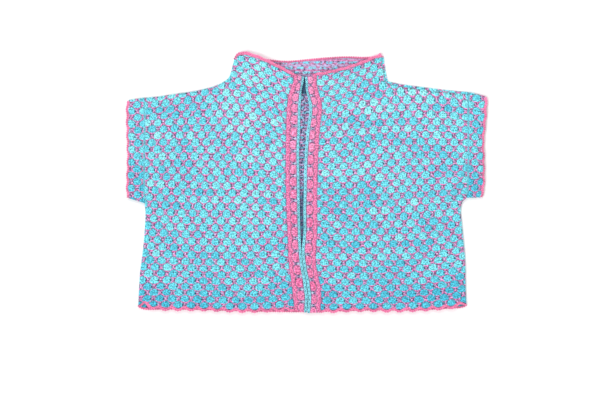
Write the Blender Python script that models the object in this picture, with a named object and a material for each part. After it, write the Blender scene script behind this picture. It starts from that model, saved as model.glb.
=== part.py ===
"""Open-front cardigan with a funnel collar and short sleeves, laid flat.

It is knitted in a honeycomb of raised bubbles. Lengths below are in millimetres and the model is in
metres, +Z up, with +Y towards the collar. The origin lies on the resting surface, under the middle of
the outline. "Right" and "left" are the wearer's, so the right front lies at -X.
"""

import math

import bmesh
import bpy
import numpy as np
from mathutils import Vector
from mathutils.geometry import delaunay_2d_cdt

MM = 0.001

# Cloth, measured upwards from the resting surface
CLOTH = 3.0  # plain wall of every knitted piece
GAP = 0.3  # between pieces that meet
FRONT_FLOOR = CLOTH + GAP  # the fronts lie on the back
BUBBLE_RISE = 2.0  # crown of a bubble above the plain wall
NET_RISE = 0.3  # knit spot under each bubble
EYELET_DROP = 0.8  # hole beside each bubble, below the plain wall
FOLD_ROUND = 4.0  # distance from a fold to the cloth's full height
FOLD_RIM = 1.3  # upright part of a folded edge, each side of the gap
COLLAR_LIFT = 4.0  # the collar's free edge stands this far off the back
COLLAR_LIFT_REACH = 55.0  # distance over which it settles back down

# Rolled edgings: height of the crest and of the two sides
ROLL = 4.0
ROLL_SIDE = 2.2
SLIM_ROLL = 2.8  # the back's edgings lie under the fronts
SLIM_ROLL_SIDE = 1.8
CHAIN_ROLL = 3.6  # chain edging along the slit
CHAIN_ROLL_SIDE = 2.6

# Spacing of the points along the lines
SIDE_STEP = 13.0
BAND_STEP = 11.0
HEM_STEP = 6.0
CURVE_SAMPLES = 24  # between two points of a table, before the spacing above is set
LINE_MARGIN = 3.4  # least distance from a line to a point of the relief
SOLE_STEP = 24.0  # grid of the inner face where it lifts
SOLE_MARGIN = 8.0
SOLE_INSET = 2.5  # the flat underside starts this far in from a fold
CREASE_ANGLE = 50.0

SCALLOP = 1.5  # depth of the hem's scallops, one for each bubble of the last row
SCALLOP_SAMPLES = 10  # along each column

# Front bands
BAND_MARGIN = 1.7  # least distance from a line to a point of the relief
BAND_BUBBLES = 20
BAND_PITCH_TOP = 20.5  # from bubble to bubble at the collar
BAND_PITCH_HEM = 25.8  # and at the hem
RIDGE_WIDTH = 8.0
RIDGE_RISE = 1.4
GROOVE_DROP = 0.5

# Sleeves: shares of the length from seam to edging, and the two columns of bubbles among them
CUFF_SHARES = (0.0, 0.2, 0.46, 0.63, 0.81, 1.0)
CUFF_INNER_COLUMN = 2
CUFF_OUTER_COLUMN = 4
CUFF_HALF_STEPS = 16  # half bubbles from the underarm to the shoulder
SLOT_SHARE = 0.96  # width of the flattened opening over the sleeve's own

# Outline and seams: x, y. They run from the hem up and round to the band.
RIGHT_SIDE = (
    (-320, -233),
    (-318.5, -205),
    (-316.5, -172),
    (-313.5, -147),
    (-310, -119),
    (-307, -80),
    (-306, -58),
    (-307.6, -39.5),
)
RIGHT_ARMHOLE = ((-307.6, -39.5), (-308.3, 5), (-308.3, 43), (-307.2, 119), (-308.2, 161))
RIGHT_SHOULDER = (
    (-308.2, 161),
    (-282, 163.3),
    (-252, 168),
    (-221, 172.2),
    (-191, 178.5),
    (-172, 184.3),
    (-158.7, 191),
)
RIGHT_COLLAR_SIDE = ((-158.7, 191), (-149.5, 197.5), (-145, 206.5), (-142, 217.5), (-137.3, 234))
LEFT_SIDE = (
    (304, -231),
    (303, -215),
    (302.3, -185),
    (302, -159),
    (300.4, -132),
    (297.7, -105),
    (295.4, -79),
    (293, -56),
    (294, -43),
    (298, -32),
    (305, -29),
)
LEFT_ARMHOLE = ((305, -29), (306.5, 0), (307, 43), (307.5, 119), (308.4, 171.8))
LEFT_SHOULDER = (
    (308.4, 168),
    (295, 168.4),
    (265, 171.5),
    (234, 174.8),
    (204, 178.6),
    (178, 182.8),
    (163, 186.3),
    (153, 189.5),
)
LEFT_COLLAR_SIDE = ((153, 189.5), (149, 200), (146.3, 212), (144.3, 225), (142.6, 238))

# The back shows past the left front along the shoulder and the collar's side.
BACK_LEFT_SHOULDER = ((308.4, 171.8), (265, 175.8), (234, 179.6), (204, 183.4), (178, 187.2), (155, 192))
BACK_LEFT_COLLAR_SIDE = ((155, 192), (151.4, 206), (149, 221), (146.6, 238))

# Edged lines: x, y, width of the edging outside them. They run from the side to the band.
RIGHT_COLLAR = (
    (-137.3, 234, 1.2),
    (-133, 239.3, 4.2),
    (-126, 242.3, 5.4),
    (-115, 242.6, 5.6),
    (-100, 238, 5.4),
    (-84.5, 232.3, 5.4),
    (-58, 219.6, 5.6),
    (-37, 208.4, 5.6),
    (-24.5, 201.6, 5.2),
)
LEFT_COLLAR = (
    (142.6, 238, 4.4),
    (135, 237.6, 5.2),
    (120.6, 231, 5.4),
    (101.6, 223.4, 5.4),
    (73, 214.2, 5.2),
    (41, 206.6, 5.0),
    (20.5, 203.4, 4.8),
)
BACK_COLLAR = (
    (-137.3, 234, 2.4),
    (-115, 239, 3.2),
    (-84.5, 233, 3.4),
    (-69, 230.4, 3.4),
    (-41, 227.6, 3.4),
    (-12, 229.4, 3.4),
    (26, 233.2, 3.4),
    (73, 236, 3.4),
    (113, 235, 3.4),
    (132, 237, 3.4),
    (146.6, 238, 2.4),
)
RIGHT_HEM = (
    (-320, -233, 3.0),
    (-313, -228.5, 3.6),
    (-306, -227.5, 4.4),
    (-297, -232.5, 5.0),
    (-286, -235.6, 5.0),
    (-269, -237, 5.0),
    (-192, -238, 5.0),
    (-117, -241, 5.0),
    (-60, -239.4, 5.0),
    (-23.4, -238.4, 4.8),
)
LEFT_HEM = (
    (304, -231, 3.0),
    (300, -226.6, 3.6),
    (294, -226.6, 4.4),
    (286, -231.8, 5.0),
    (273, -233.8, 5.0),
    (250, -236, 5.0),
    (204, -239.2, 5.0),
    (159, -240.2, 5.0),
    (121, -239.2, 5.0),
    (83, -239.6, 5.0),
    (45, -241.4, 5.0),
    (26.8, -242.4, 4.8),
)
BACK_HEM = (
    (-320, -233, 3.0),
    (-312, -237, 3.4),
    (-298, -238.6, 3.4),
    (-269, -238, 3.4),
    (-192, -239, 3.4),
    (-117, -241.5, 3.4),
    (0, -243, 3.4),
    (121, -240, 3.4),
    (204, -240, 3.4),
    (273, -236, 3.4),
    (294, -234.8, 3.4),
    (304, -231, 3.0),
)

# Front bands from the top down: y, and x of the slit's edge, of the chain edging's seam and of the
# seam with the front. The ends of the first two lines follow, top and foot.
RIGHT_BAND = (
    (194, -4.8, -9.6, -25.0),
    (185, -5.2, -10.4, -27.5),
    (175, -7.8, -13.0, -31.5),
    (165, -8.8, -14.0, -34.6),
    (147, -11.0, -16.2, -36.7),
    (119, -11.6, -16.8, -38.4),
    (90, -12.6, -17.8, -39.0),
    (62, -14.0, -19.2, -39.4),
    (5, -13.2, -18.4, -39.6),
    (-52, -12.5, -17.7, -38.2),
    (-109, -10.8, -16.0, -35.5),
    (-128, -9.7, -14.9, -35.0),
    (-147, -8.2, -13.4, -34.4),
    (-166, -5.5, -10.9, -32.2),
    (-185, -1.4, -7.2, -29.5),
    (-204, 1.2, -5.0, -27.0),
    (-218, 3.0, -3.2, -25.4),
    (-233, 1.7, -4.0, -24.0),
)
RIGHT_BAND_ENDS = (((-4.6, 200), (0.4, -248)), ((-9.0, 202), (-4.6, -246)))
LEFT_BAND = (
    (194, -3.0, 2.6, 19.5),
    (185, -3.0, 3.2, 20.2),
    (175, -3.6, 2.6, 22.0),
    (165, 0.0, 6.2, 25.4),
    (147, 4.8, 11.0, 29.6),
    (128, 4.4, 10.6, 28.5),
    (100, 0.4, 6.6, 25.3),
    (62, -3.0, 3.2, 23.0),
    (24, -4.8, 1.4, 21.5),
    (-14, -5.4, 0.8, 20.5),
    (-52, -6.3, -0.1, 20.5),
    (-90, -6.0, 0.2, 20.6),
    (-109, -7.4, -1.2, 19.4),
    (-128, -9.4, -3.2, 18.6),
    (-147, -7.9, -1.7, 17.8),
    (-166, -5.2, 1.0, 19.8),
    (-185, -1.1, 5.1, 24.0),
    (-204, 1.5, 7.7, 27.6),
    (-218, 3.3, 9.5, 28.0),
    (-233, 2.0, 8.2, 27.2),
)
LEFT_BAND_ENDS = (((-3.2, 199.6), (0.7, -248.4)), ((1.8, 202), (6.9, -247.8)))
RIGHT_FIRST_BUBBLE = 199.0  # y of each band's highest bubble
LEFT_FIRST_BUBBLE = 193.0

# Seam between sleeve and edging, then the edging's outer line, from the underarm up: x, y
RIGHT_CUFF_SEAM = ((-336, -31.5), (-336.6, 0), (-335.6, 43), (-336.2, 90), (-336.4, 130), (-335.5, 159.5))
RIGHT_CUFF_RIM = ((-340.8, -27.5), (-342, 0), (-340.6, 43), (-341.4, 90), (-341.8, 130), (-340.5, 153))
LEFT_CUFF_SEAM = ((328, -30.5), (332.4, -6), (332.8, 43), (331.6, 75), (333, 95), (335.8, 126), (337.4, 167.5))
LEFT_CUFF_RIM = ((333.5, -26), (337.6, -6), (338, 43), (336.6, 75), (338.2, 95), (341, 126), (342, 160))

# Knit grid of each front. Columns count bubbles from the band and rows count half bubbles upwards.
# x is given at columns 0, 6 and 12, and y at columns 0, 3, 6, 9 and 12.
X_COLUMNS = (0, 6, 12)
Y_COLUMNS = (0, 3, 6, 9, 12)
RIGHT_KNIT = (
    # row, x_band, x_mid, x_side, y_band, y_inner, y_mid, y_outer, y_side
    (-15, -26, -170, -320, -251, -257, -257, -254, -254),
    (-10, -31, -172, -314, -192, -198, -198, -196, -197),
    (-6, -36, -174, -309, -145, -149, -150, -148, -145),
    (-2, -40, -174, -304, -96, -98, -98, -96, -93),
    (2, -41, -174, -299, -49, -45, -44, -43, -39),
    (6, -41, -172, -296, 1, 7, 9, 11, 13),
    (10, -42, -170, -295, 49, 60, 64, 65, 65),
    (14, -42, -166, -293, 97, 114, 119, 118, 115),
    (17, -40, -164, -288, 128, 152, 161, 158, 150),
    (20, -34, -161, -284, 163, 187, 200, 201, 192),
    (26, -24, -155, -280, 227, 252, 262, 262, 252),
)
LEFT_KNIT = (
    # row, x_band, x_mid, x_side, y_band, y_inner, y_mid, y_outer, y_side
    (-15, 26, 178, 326, -249, -246, -245, -241, -229),
    (-10, 24, 170, 315, -184, -188, -187, -183, -174),
    (-6, 21, 165, 306, -138, -140, -140, -136, -123),
    (-2, 22, 163, 297, -89, -92, -91, -86, -76),
    (2, 23, 160, 290, -39, -40, -37, -33, -27),
    (6, 23, 160, 292, 8, 9, 13, 16, 17),
    (10, 26, 161, 292, 55, 59, 65, 67, 65),
    (14, 32, 159, 291, 103, 110, 116, 118, 115),
    (17, 33, 159, 291, 135, 149, 157, 159, 151),
    (20, 26, 152, 278, 170, 182, 202, 212, 208),
    (26, 24, 140, 256, 232, 244, 275, 290, 295),
)
LAST_COLUMN = 13
# A bubble sits where twice the column plus the row plus this is even.
RIGHT_PHASE = 1
LEFT_PHASE = 0
RIGHT_LAST_ROW = -13
LEFT_LAST_ROW = -14

TURQUOISE = (0.21, 0.67, 0.79)
PINK = (0.86, 0.22, 0.43)
YARN_ROUGHNESS = 0.9


# ---------------------------------------------------------------- lines in the plane


def length_along(line):
    return np.concatenate([[0], np.cumsum(np.hypot(*np.diff(line[:, :2], axis=0).T))])


def resampled(line, shares):
    """The line's values at shares of its length."""
    walked = length_along(line)
    return np.column_stack([np.interp(np.array(shares) * walked[-1], walked, values) for values in line.T])


def curve(points, step):
    """A smooth line through the points, with a vertex about every step."""
    p = np.array(points, float)
    q = np.vstack([2 * p[0] - p[1], p, 2 * p[-1] - p[-2]])
    t = np.linspace(0, 1, CURVE_SAMPLES, endpoint=False)[:, None]
    pieces = []
    for a, b, c, d in zip(q, q[1:], q[2:], q[3:]):
        bend = 2 * b + (c - a) * t + (2 * a - 5 * b + 4 * c - d) * t**2 + (3 * b - a - 3 * c + d) * t**3
        pieces.append(0.5 * bend)
    fine = np.vstack(pieces + [p[-1:]])
    count = max(2, int(round(length_along(fine)[-1] / step)) + 1)
    return resampled(fine, np.linspace(0, 1, count))


def moved(line, distances):
    """The line moved to its left by a distance, or by one for each of its points."""
    along = np.gradient(line[:, :2], axis=0)
    along /= np.linalg.norm(along, axis=1)[:, None]
    left = np.column_stack([-along[:, 1], along[:, 0]])
    return line[:, :2] + left * np.reshape(distances, (-1, 1))


def area(loop):
    x, y = loop.T
    return 0.5 * float(x @ np.roll(y, -1) - y @ np.roll(x, -1))


def pulled_in(loop, distance):
    """A counter-clockwise loop with every corner moved inwards."""
    before = loop - np.roll(loop, 1, axis=0)
    after = np.roll(before, -1, axis=0)
    before = before / np.linalg.norm(before, axis=1)[:, None]
    after = after / np.linalg.norm(after, axis=1)[:, None]
    left = np.column_stack([-(before + after)[:, 1], (before + after)[:, 0]])
    size = np.linalg.norm(left, axis=1)[:, None]
    return loop + left / size * distance / np.clip(size / 2, 0.5, 1)


def inside(points, loop):
    """Which points lie within a loop, by counting the edges that a ray to +X crosses."""
    x, y = points[:, 0, None], points[:, 1, None]
    a, b = loop, np.roll(loop, -1, axis=0)
    spans = (a[:, 1] > y) != (b[:, 1] > y)
    rise = np.where(b[:, 1] == a[:, 1], 1, b[:, 1] - a[:, 1])
    crossing = a[:, 0] + (y - a[:, 1]) * (b[:, 0] - a[:, 0]) / rise
    return (spans & (x < crossing)).sum(axis=1) % 2 == 1


def distance_to(points, line):
    """Distance in the plane from each point to an open line."""
    a, run = line[:-1, :2], np.diff(line[:, :2], axis=0)
    share = ((points[:, None, :2] - a) * run).sum(2) / (run**2).sum(1)
    nearest = a + np.clip(share, 0, 1)[..., None] * run
    return np.linalg.norm(points[:, None, :2] - nearest, axis=2).min(axis=1)


def kept_clear(points, loop, margin):
    """The points that lie inside a loop and at least a margin away from it."""
    points = points[inside(points, loop)]
    return points[distance_to(points, np.vstack([loop, loop[:1]])) >= margin]


# ---------------------------------------------------------------- knit grid


def knit_places(table, columns, rows):
    """Places in the plane of knit columns and rows, as x, y."""
    t = np.array(table, float)

    def through(stations, values):
        total = np.zeros(len(columns))
        for i, station in enumerate(stations):
            weight = np.interp(rows, t[:, 0], values[:, i])
            for other in stations:
                if other != station:
                    weight = weight * (columns - other) / (station - other)
            total += weight
        return total

    across = len(X_COLUMNS)
    x = through(X_COLUMNS, t[:, 1 : 1 + across])
    y = through(Y_COLUMNS, t[:, 1 + across :])
    return np.column_stack([x, y])


def honeycomb(table, phase):
    """Outer points over a whole knit grid: x, y, height above the inner face.

    Each bubble has a crown, a knit spot below it and an eyelet on its diagonals.
    """
    first, last = table[0][0], table[-1][0]
    half_columns, rows = np.meshgrid(np.arange(-1, 2 * LAST_COLUMN), np.arange(first, last))
    half_columns, rows = half_columns.ravel(), rows.ravel()
    knots = knit_places(table, half_columns / 2, rows)
    crowned = (half_columns + rows + phase) % 2 == 0
    knot_heights = CLOTH + np.where(crowned, BUBBLE_RISE, NET_RISE)
    eyelets = knit_places(table, half_columns / 2 + 0.25, rows + 0.5)
    eyelet_heights = np.full(len(eyelets), CLOTH - EYELET_DROP)
    return np.vstack([np.column_stack([knots, knot_heights]), np.column_stack([eyelets, eyelet_heights])])


def scalloped(line, table, last_row):
    """A hem line with a scallop under each bubble of the last row."""
    columns = np.linspace(0, LAST_COLUMN, SCALLOP_SAMPLES * LAST_COLUMN)
    x = knit_places(table, columns, np.full(len(columns), last_row))[:, 0]
    order = np.argsort(x)
    at = np.interp(line[:, 0], x[order], columns[order])
    wavy = line.copy()
    wavy[1:-1, 1] -= SCALLOP * np.cos(2 * math.pi * at[1:-1])
    return wavy


# ---------------------------------------------------------------- solids


def material(name, colour):
    made = bpy.data.materials.new(name)
    made.use_nodes = True
    shader = made.node_tree.nodes["Principled BSDF"]
    shader.inputs["Base Color"].default_value = (*colour, 1.0)
    shader.inputs["Roughness"].default_value = YARN_ROUGHNESS
    shader.inputs["Metallic"].default_value = 0.0
    return made


def add_object(name, bm, colour):
    bmesh.ops.scale(bm, vec=(MM, MM, MM), verts=bm.verts)
    bmesh.ops.recalc_face_normals(bm, faces=bm.faces)
    mesh = bpy.data.meshes.new(name)
    bm.to_mesh(mesh)
    bm.free()
    mesh.shade_smooth()
    mesh.set_sharp_from_angle(angle=math.radians(CREASE_ANGLE))
    mesh.materials.append(material(name, colour))
    garment.objects.link(bpy.data.objects.new(name, mesh))


def sheet_faces(bm, rim, inner):
    """Triangles over a rim and the points within it. Returns the rim's vertices in their order."""
    points = np.vstack([rim, inner])
    flat = [Vector(point[:2]) for point in points]
    places, _, triangles, sources, *_ = delaunay_2d_cdt(flat, [], [list(range(len(rim)))], 1, 1e-5)
    verts = [bm.verts.new((*place, points[source[0]][2])) for place, source in zip(places, sources)]
    for triangle in triangles:
        bm.faces.new([verts[i] for i in triangle])
    first = {source[0]: vert for vert, source in zip(verts, sources)}
    return [first[i] for i in range(len(rim))]


def panel(name, loop, top, foot, crown, sole, colour):
    """A knitted piece from its outline, the heights of the outline's upper and lower rim, and the
    points of its upper and lower faces."""
    bm = bmesh.new()
    upper = sheet_faces(bm, np.column_stack([loop, top]), crown)
    lower = sheet_faces(bm, np.column_stack([loop, foot]), sole)
    for i in range(len(loop)):
        bm.faces.new([lower[i - 1], lower[i], upper[i], upper[i - 1]])
    bmesh.ops.triangulate(bm, faces=bm.faces)
    add_object(name, bm, colour)


def tube(name, rings, colour):
    """A closed surface through rings of equal size, the last joined to the first."""
    bm = bmesh.new()
    loops = [[bm.verts.new(point) for point in ring] for ring in rings]
    for ring, following in zip(loops, loops[1:] + loops[:1]):
        for i in range(len(ring)):
            bm.faces.new([ring[i - 1], ring[i], following[i], following[i - 1]])
    bmesh.ops.triangulate(bm, faces=bm.faces)
    add_object(name, bm, colour)


def lifter(collar_line):
    """How far a front's points stand off the back: most at the collar's free edge, nothing at its
    fold, where the line starts."""
    fold_x = collar_line[0, 0]

    def lift(points):
        near = np.clip(1 - distance_to(points, collar_line) / COLLAR_LIFT_REACH, 0, 1)
        from_fold = np.clip(np.abs(points[:, 0] - fold_x) / COLLAR_LIFT_REACH, 0, 1)
        return COLLAR_LIFT * near**2 * (3 - 2 * near) * from_fold**2 * (3 - 2 * from_fold)

    return lift


def unlifted(points):
    return np.zeros(len(points))


def at_height(plane, heights):
    return np.column_stack([plane[:, :2], heights])


# ---------------------------------------------------------------- pieces


def front(name, lines, table, phase, lift):
    """One front: plain inner face, honeycomb outer face, rounded folds at side and shoulder."""
    side, armhole, shoulder, collar_side, collar, band, hem = lines
    rims = (FOLD_RIM, CLOTH, FOLD_RIM, FOLD_RIM, CLOTH, CLOTH, CLOTH)
    loop = np.vstack([line[:-1, :2] for line in lines])
    rim = np.concatenate([np.full(len(line) - 1, height) for line, height in zip(lines, rims)])
    if area(loop) < 0:
        loop, rim = loop[::-1], rim[::-1]
    loop = pulled_in(loop, GAP / 2)

    shoulders = pulled_in(loop, FOLD_ROUND)[rim == FOLD_RIM]
    crown = kept_clear(honeycomb(table, phase), loop, LINE_MARGIN)
    for fold in (side, shoulder, collar_side):
        crown = crown[distance_to(crown, fold) >= FOLD_ROUND + LINE_MARGIN]
    crown = np.vstack([at_height(shoulders, np.full(len(shoulders), CLOTH)), crown])
    crown[:, 2] += FRONT_FLOOR + lift(crown)

    low, high = loop.min(axis=0), loop.max(axis=0)
    grid = np.meshgrid(*(np.arange(a, b, SOLE_STEP) for a, b in zip(low, high)))
    sole = kept_clear(np.column_stack([axis.ravel() for axis in grid]), loop, SOLE_MARGIN)
    sole = sole[distance_to(sole, collar) < COLLAR_LIFT_REACH + SOLE_STEP]
    sole = at_height(sole, FRONT_FLOOR + lift(sole))

    foot = FRONT_FLOOR + lift(loop)
    panel(name, loop, foot + rim, foot, crown, sole, TURQUOISE)


def strip(name, inner, outer, floor, roll, side, colour, lift=unlifted):
    """A rolled edging between two lines of equal count, its crest midway."""
    loop = np.vstack([inner[:, :2], outer[::-1, :2]])
    if area(loop) < 0:
        loop = loop[::-1]
    loop = pulled_in(loop, GAP / 2)
    crest = ((inner[:, :2] + outer[:, :2]) / 2)[1:-1]
    foot = floor + lift(loop)
    panel(
        name,
        loop,
        foot + side,
        foot,
        at_height(crest, floor + roll + lift(crest)),
        np.empty((0, 3)),
        colour,
    )


def band_line(table, column, ends):
    """One of a band's lines from the top down, between its two ends."""
    t = np.array(table, float)
    return curve(np.vstack([ends[0], t[:, [column, 0]], ends[1]]), BAND_STEP)


def band(name, chain, outer, first_bubble, lift):
    """A front band: a raised ridge beside the front, then a column of bubbles."""
    loop = np.vstack([outer, chain[::-1]])
    if area(loop) < 0:
        loop = loop[::-1]
    loop = pulled_in(loop, GAP / 2)
    towards_slit = math.copysign(1, chain[0, 0] - outer[0, 0])

    def x_at(line, y):
        return float(np.interp(y, line[::-1, 1], line[::-1, 0]))

    points = []
    y = first_bubble
    for i in range(2 * BAND_BUBBLES):
        groove = x_at(outer, y) + towards_slit * RIDGE_WIDTH
        middle = (groove + x_at(chain, y)) / 2
        crowned = i % 2 == 0
        points.append((x_at(outer, y) + towards_slit * RIDGE_WIDTH / 2, y, CLOTH + RIDGE_RISE))
        points.append((groove, y, CLOTH - GROOVE_DROP))
        points.append((middle, y, CLOTH + (BUBBLE_RISE if crowned else -EYELET_DROP)))
        share = i / (2 * BAND_BUBBLES)
        y -= (BAND_PITCH_TOP * (1 - share) + BAND_PITCH_HEM * share) / 2
    crown = kept_clear(np.array(points), loop, BAND_MARGIN)
    crown[:, 2] += FRONT_FLOOR + lift(crown)
    foot = FRONT_FLOOR + lift(loop)
    panel(name, loop, foot + CLOTH, foot, crown, np.empty((0, 3)), PINK)


def back(lines):
    """The back: one plain panel, resting on a flat underside set in from its rounded edge."""
    loop = np.vstack([line[:-1, :2] for line in lines])
    loop = pulled_in(loop, GAP / 2)
    sole = pulled_in(loop, SOLE_INSET)
    count = len(loop)
    panel(
        "back",
        loop,
        np.full(count, CLOTH),
        np.full(count, CLOTH - FOLD_RIM),
        np.empty((0, 3)),
        at_height(sole, np.zeros(count)),
        TURQUOISE,
    )


def sleeve_shares(length):
    """Shares of a sleeve's width from the underarm up: both folds and each half bubble."""
    edge = FOLD_ROUND / length
    return [0.0, edge] + [j / CUFF_HALF_STEPS for j in range(1, CUFF_HALF_STEPS)] + [1 - edge, 1.0]


def flat_tube(name, seam, rim, shares, heights, colour):
    """A sleeve ring pressed flat, from its seam line to its rim line, both from the underarm up.

    heights(i, j) is the height of the upper side at one of the shares and at a half bubble.
    """
    up = sleeve_shares(length_along(seam)[-1])
    around = up + up[::-1]
    upper_rim, lower_rim = FRONT_FLOOR + FOLD_RIM, CLOTH - FOLD_RIM
    sole = [lower_rim] + [0.0] * (len(up) - 2) + [lower_rim]

    def places(share, stations):
        a, b = resampled(seam, stations), resampled(rim, stations)
        return a[:, :2] * (1 - share) + b[:, :2] * share

    rings = []
    for i, share in enumerate(shares):
        top = [upper_rim] + [heights(i, j) for j in range(CUFF_HALF_STEPS + 1)] + [upper_rim]
        rings.append(at_height(places(share, around), top + sole))
    narrowed = [0.5 + (share - 0.5) * SLOT_SHARE for share in around]
    slot = [FRONT_FLOOR] * len(up) + [CLOTH] * len(up)
    for share in (shares[-1], shares[0]):
        rings.append(at_height(places(share, narrowed), slot))
    tube(name, rings, colour)


def sleeve(name, armhole, cuff_seam, outward):
    """A short sleeve with two staggered columns of bubbles on its upper side."""

    def heights(i, j):
        base = FRONT_FLOOR + CLOTH
        if i not in (CUFF_INNER_COLUMN, CUFF_OUTER_COLUMN):
            return base
        crowned = j % 2 == (0 if i == CUFF_INNER_COLUMN else 1)
        on_fold = j in (0, CUFF_HALF_STEPS)
        return base + (BUBBLE_RISE if crowned and not on_fold else -EYELET_DROP)

    inner = moved(armhole, outward * GAP / 2)
    outer = moved(cuff_seam, -outward * GAP / 2)
    flat_tube(name, inner, outer, CUFF_SHARES, heights, TURQUOISE)


def sleeve_edging(name, cuff_seam, cuff_rim, outward):
    """The rolled edging round the sleeve's opening."""
    crests = (ROLL_SIDE, ROLL, ROLL_SIDE)

    def heights(i, j):
        return FRONT_FLOOR + crests[i]

    inner = moved(cuff_seam, outward * GAP / 2)
    flat_tube(name, inner, cuff_rim, (0.0, 0.5, 1.0), heights, PINK)


def half(side, lines, outward, bands, knit, first_bubble):
    """One front with its band and edgings. outward is +1 where the lines' left is outside.

    Returns the lines that the back shares, from the hem up.
    """
    side_line, armhole_line, shoulder_line, collar_side_line, collar_line, hem_line = lines
    band_table, band_ends = bands
    table, phase, last_row = knit
    fold_side = curve(side_line, SIDE_STEP)
    shoulder = curve(shoulder_line, SIDE_STEP)
    armhole = curve(armhole_line, SIDE_STEP)
    armhole = resampled(armhole, sleeve_shares(length_along(armhole)[-1]))
    front_armhole = np.vstack([armhole[:-1], shoulder[:1]])
    collar_side = curve(collar_side_line, SIDE_STEP)
    collar = curve(collar_line, SIDE_STEP)
    hem = scalloped(curve(hem_line, HEM_STEP), table, last_row)
    collar_rim = moved(collar, outward * collar[:, 2])
    hem_rim = moved(hem, -outward * hem[:, 2])
    chain = band_line(band_table, 2, band_ends[1])
    slit = resampled(band_line(band_table, 1, band_ends[0]), np.linspace(0, 1, len(chain)))
    beside_band = band_line(band_table, 3, (collar[-1, :2], hem[-1, :2]))
    lift = lifter(collar)

    outline = (fold_side, front_armhole, shoulder, collar_side, collar, beside_band, hem[::-1])
    front(f"{side}_front", outline, table, phase, lift)
    outer = np.vstack([collar_rim[-1:], beside_band, hem_rim[-1:]])
    band(f"{side}_band", chain, outer, first_bubble, lift)
    strip(f"{side}_band_edge", chain, slit, FRONT_FLOOR, CHAIN_ROLL, CHAIN_ROLL_SIDE, TURQUOISE, lift)
    strip(f"{side}_collar_edge", collar, collar_rim, FRONT_FLOOR, ROLL, ROLL_SIDE, PINK, lift)
    strip(f"{side}_front_hem_edge", hem, hem_rim, FRONT_FLOOR, ROLL, ROLL_SIDE, PINK)
    return fold_side, armhole, shoulder, collar_side


def main():
    right_lines = half(
        "right",
        (RIGHT_SIDE, RIGHT_ARMHOLE, RIGHT_SHOULDER, RIGHT_COLLAR_SIDE, RIGHT_COLLAR, RIGHT_HEM),
        1,
        (RIGHT_BAND, RIGHT_BAND_ENDS),
        (RIGHT_KNIT, RIGHT_PHASE, RIGHT_LAST_ROW),
        RIGHT_FIRST_BUBBLE,
    )
    left_lines = half(
        "left",
        (LEFT_SIDE, LEFT_ARMHOLE, LEFT_SHOULDER, LEFT_COLLAR_SIDE, LEFT_COLLAR, LEFT_HEM),
        -1,
        (LEFT_BAND, LEFT_BAND_ENDS),
        (LEFT_KNIT, LEFT_PHASE, LEFT_LAST_ROW),
        LEFT_FIRST_BUBBLE,
    )

    hem = curve(BACK_HEM, HEM_STEP)
    collar = curve(BACK_COLLAR, SIDE_STEP)
    back_shoulder = curve(BACK_LEFT_SHOULDER, SIDE_STEP)
    back_collar_side = curve(BACK_LEFT_COLLAR_SIDE, SIDE_STEP)
    right_down = [line[::-1] for line in reversed(right_lines)]
    back([hem, *left_lines[:2], back_shoulder, back_collar_side, collar[::-1], *right_down])
    hem_rim = moved(hem, -hem[:, 2])
    strip("back_hem_edge", hem, hem_rim, 0.0, SLIM_ROLL, SLIM_ROLL_SIDE, PINK)
    collar_rim = moved(collar, collar[:, 2])
    strip("back_collar_edge", collar, collar_rim, 0.0, SLIM_ROLL, SLIM_ROLL_SIDE, PINK)

    for side, armhole, seam_points, rim_points, outward in (
        ("right", right_lines[1], RIGHT_CUFF_SEAM, RIGHT_CUFF_RIM, 1),
        ("left", left_lines[1], LEFT_CUFF_SEAM, LEFT_CUFF_RIM, -1),
    ):
        seam, rim = curve(seam_points, SIDE_STEP), curve(rim_points, SIDE_STEP)
        sleeve(f"{side}_cuff", armhole, seam, outward)
        sleeve_edging(f"{side}_cuff_edge", seam, rim, outward)


for old in list(bpy.data.objects):
    bpy.data.objects.remove(old, do_unlink=True)
garment = bpy.data.collections.new("cardigan")
bpy.context.scene.collection.children.link(garment)
main()
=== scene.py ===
"""Looks of a honeycomb-knit open cardigan, laid flat on a white surface.

Lengths are in millimetres until a mesh is made, which is in metres. +X runs towards the wearer's left
sleeve, +Y towards the collar and +Z up. Outlines come from the frame's solids. Over them lies the
honeycomb: columns of stitch bubbles in staggered rows, turquoise over a pink net.
"""

import math

import bmesh
import bpy
import numpy as np
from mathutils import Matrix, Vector
from mathutils.geometry import delaunay_2d_cdt
from mathutils.kdtree import KDTree


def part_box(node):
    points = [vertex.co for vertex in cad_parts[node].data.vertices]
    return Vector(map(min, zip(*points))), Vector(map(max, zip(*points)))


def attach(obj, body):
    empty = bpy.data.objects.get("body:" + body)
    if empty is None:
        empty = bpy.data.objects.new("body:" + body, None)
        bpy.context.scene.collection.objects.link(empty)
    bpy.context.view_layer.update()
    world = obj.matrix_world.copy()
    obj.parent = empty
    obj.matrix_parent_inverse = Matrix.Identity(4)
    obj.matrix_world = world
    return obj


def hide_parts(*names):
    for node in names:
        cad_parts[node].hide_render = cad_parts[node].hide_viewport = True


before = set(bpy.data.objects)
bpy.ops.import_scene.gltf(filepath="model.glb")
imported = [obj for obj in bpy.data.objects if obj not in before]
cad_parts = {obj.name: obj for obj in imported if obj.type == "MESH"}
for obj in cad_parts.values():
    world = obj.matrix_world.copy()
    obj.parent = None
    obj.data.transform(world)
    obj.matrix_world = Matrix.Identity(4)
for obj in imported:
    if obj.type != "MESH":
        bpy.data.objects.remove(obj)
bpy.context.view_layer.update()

MM = 0.001

# Cloth, as in the solids
CLOTH = 3.0
FRONT_FLOOR = 3.3
FOLD_RIM = 1.3
FOLD_ROUND = 4.5  # width of the rounding at a fold
COLLAR_LIFT = 4.0  # of a front at the collar's free edge
COLLAR_LIFT_REACH = 55.0
EDGE_ROLL = 4.0  # height of an edging on a front

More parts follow.
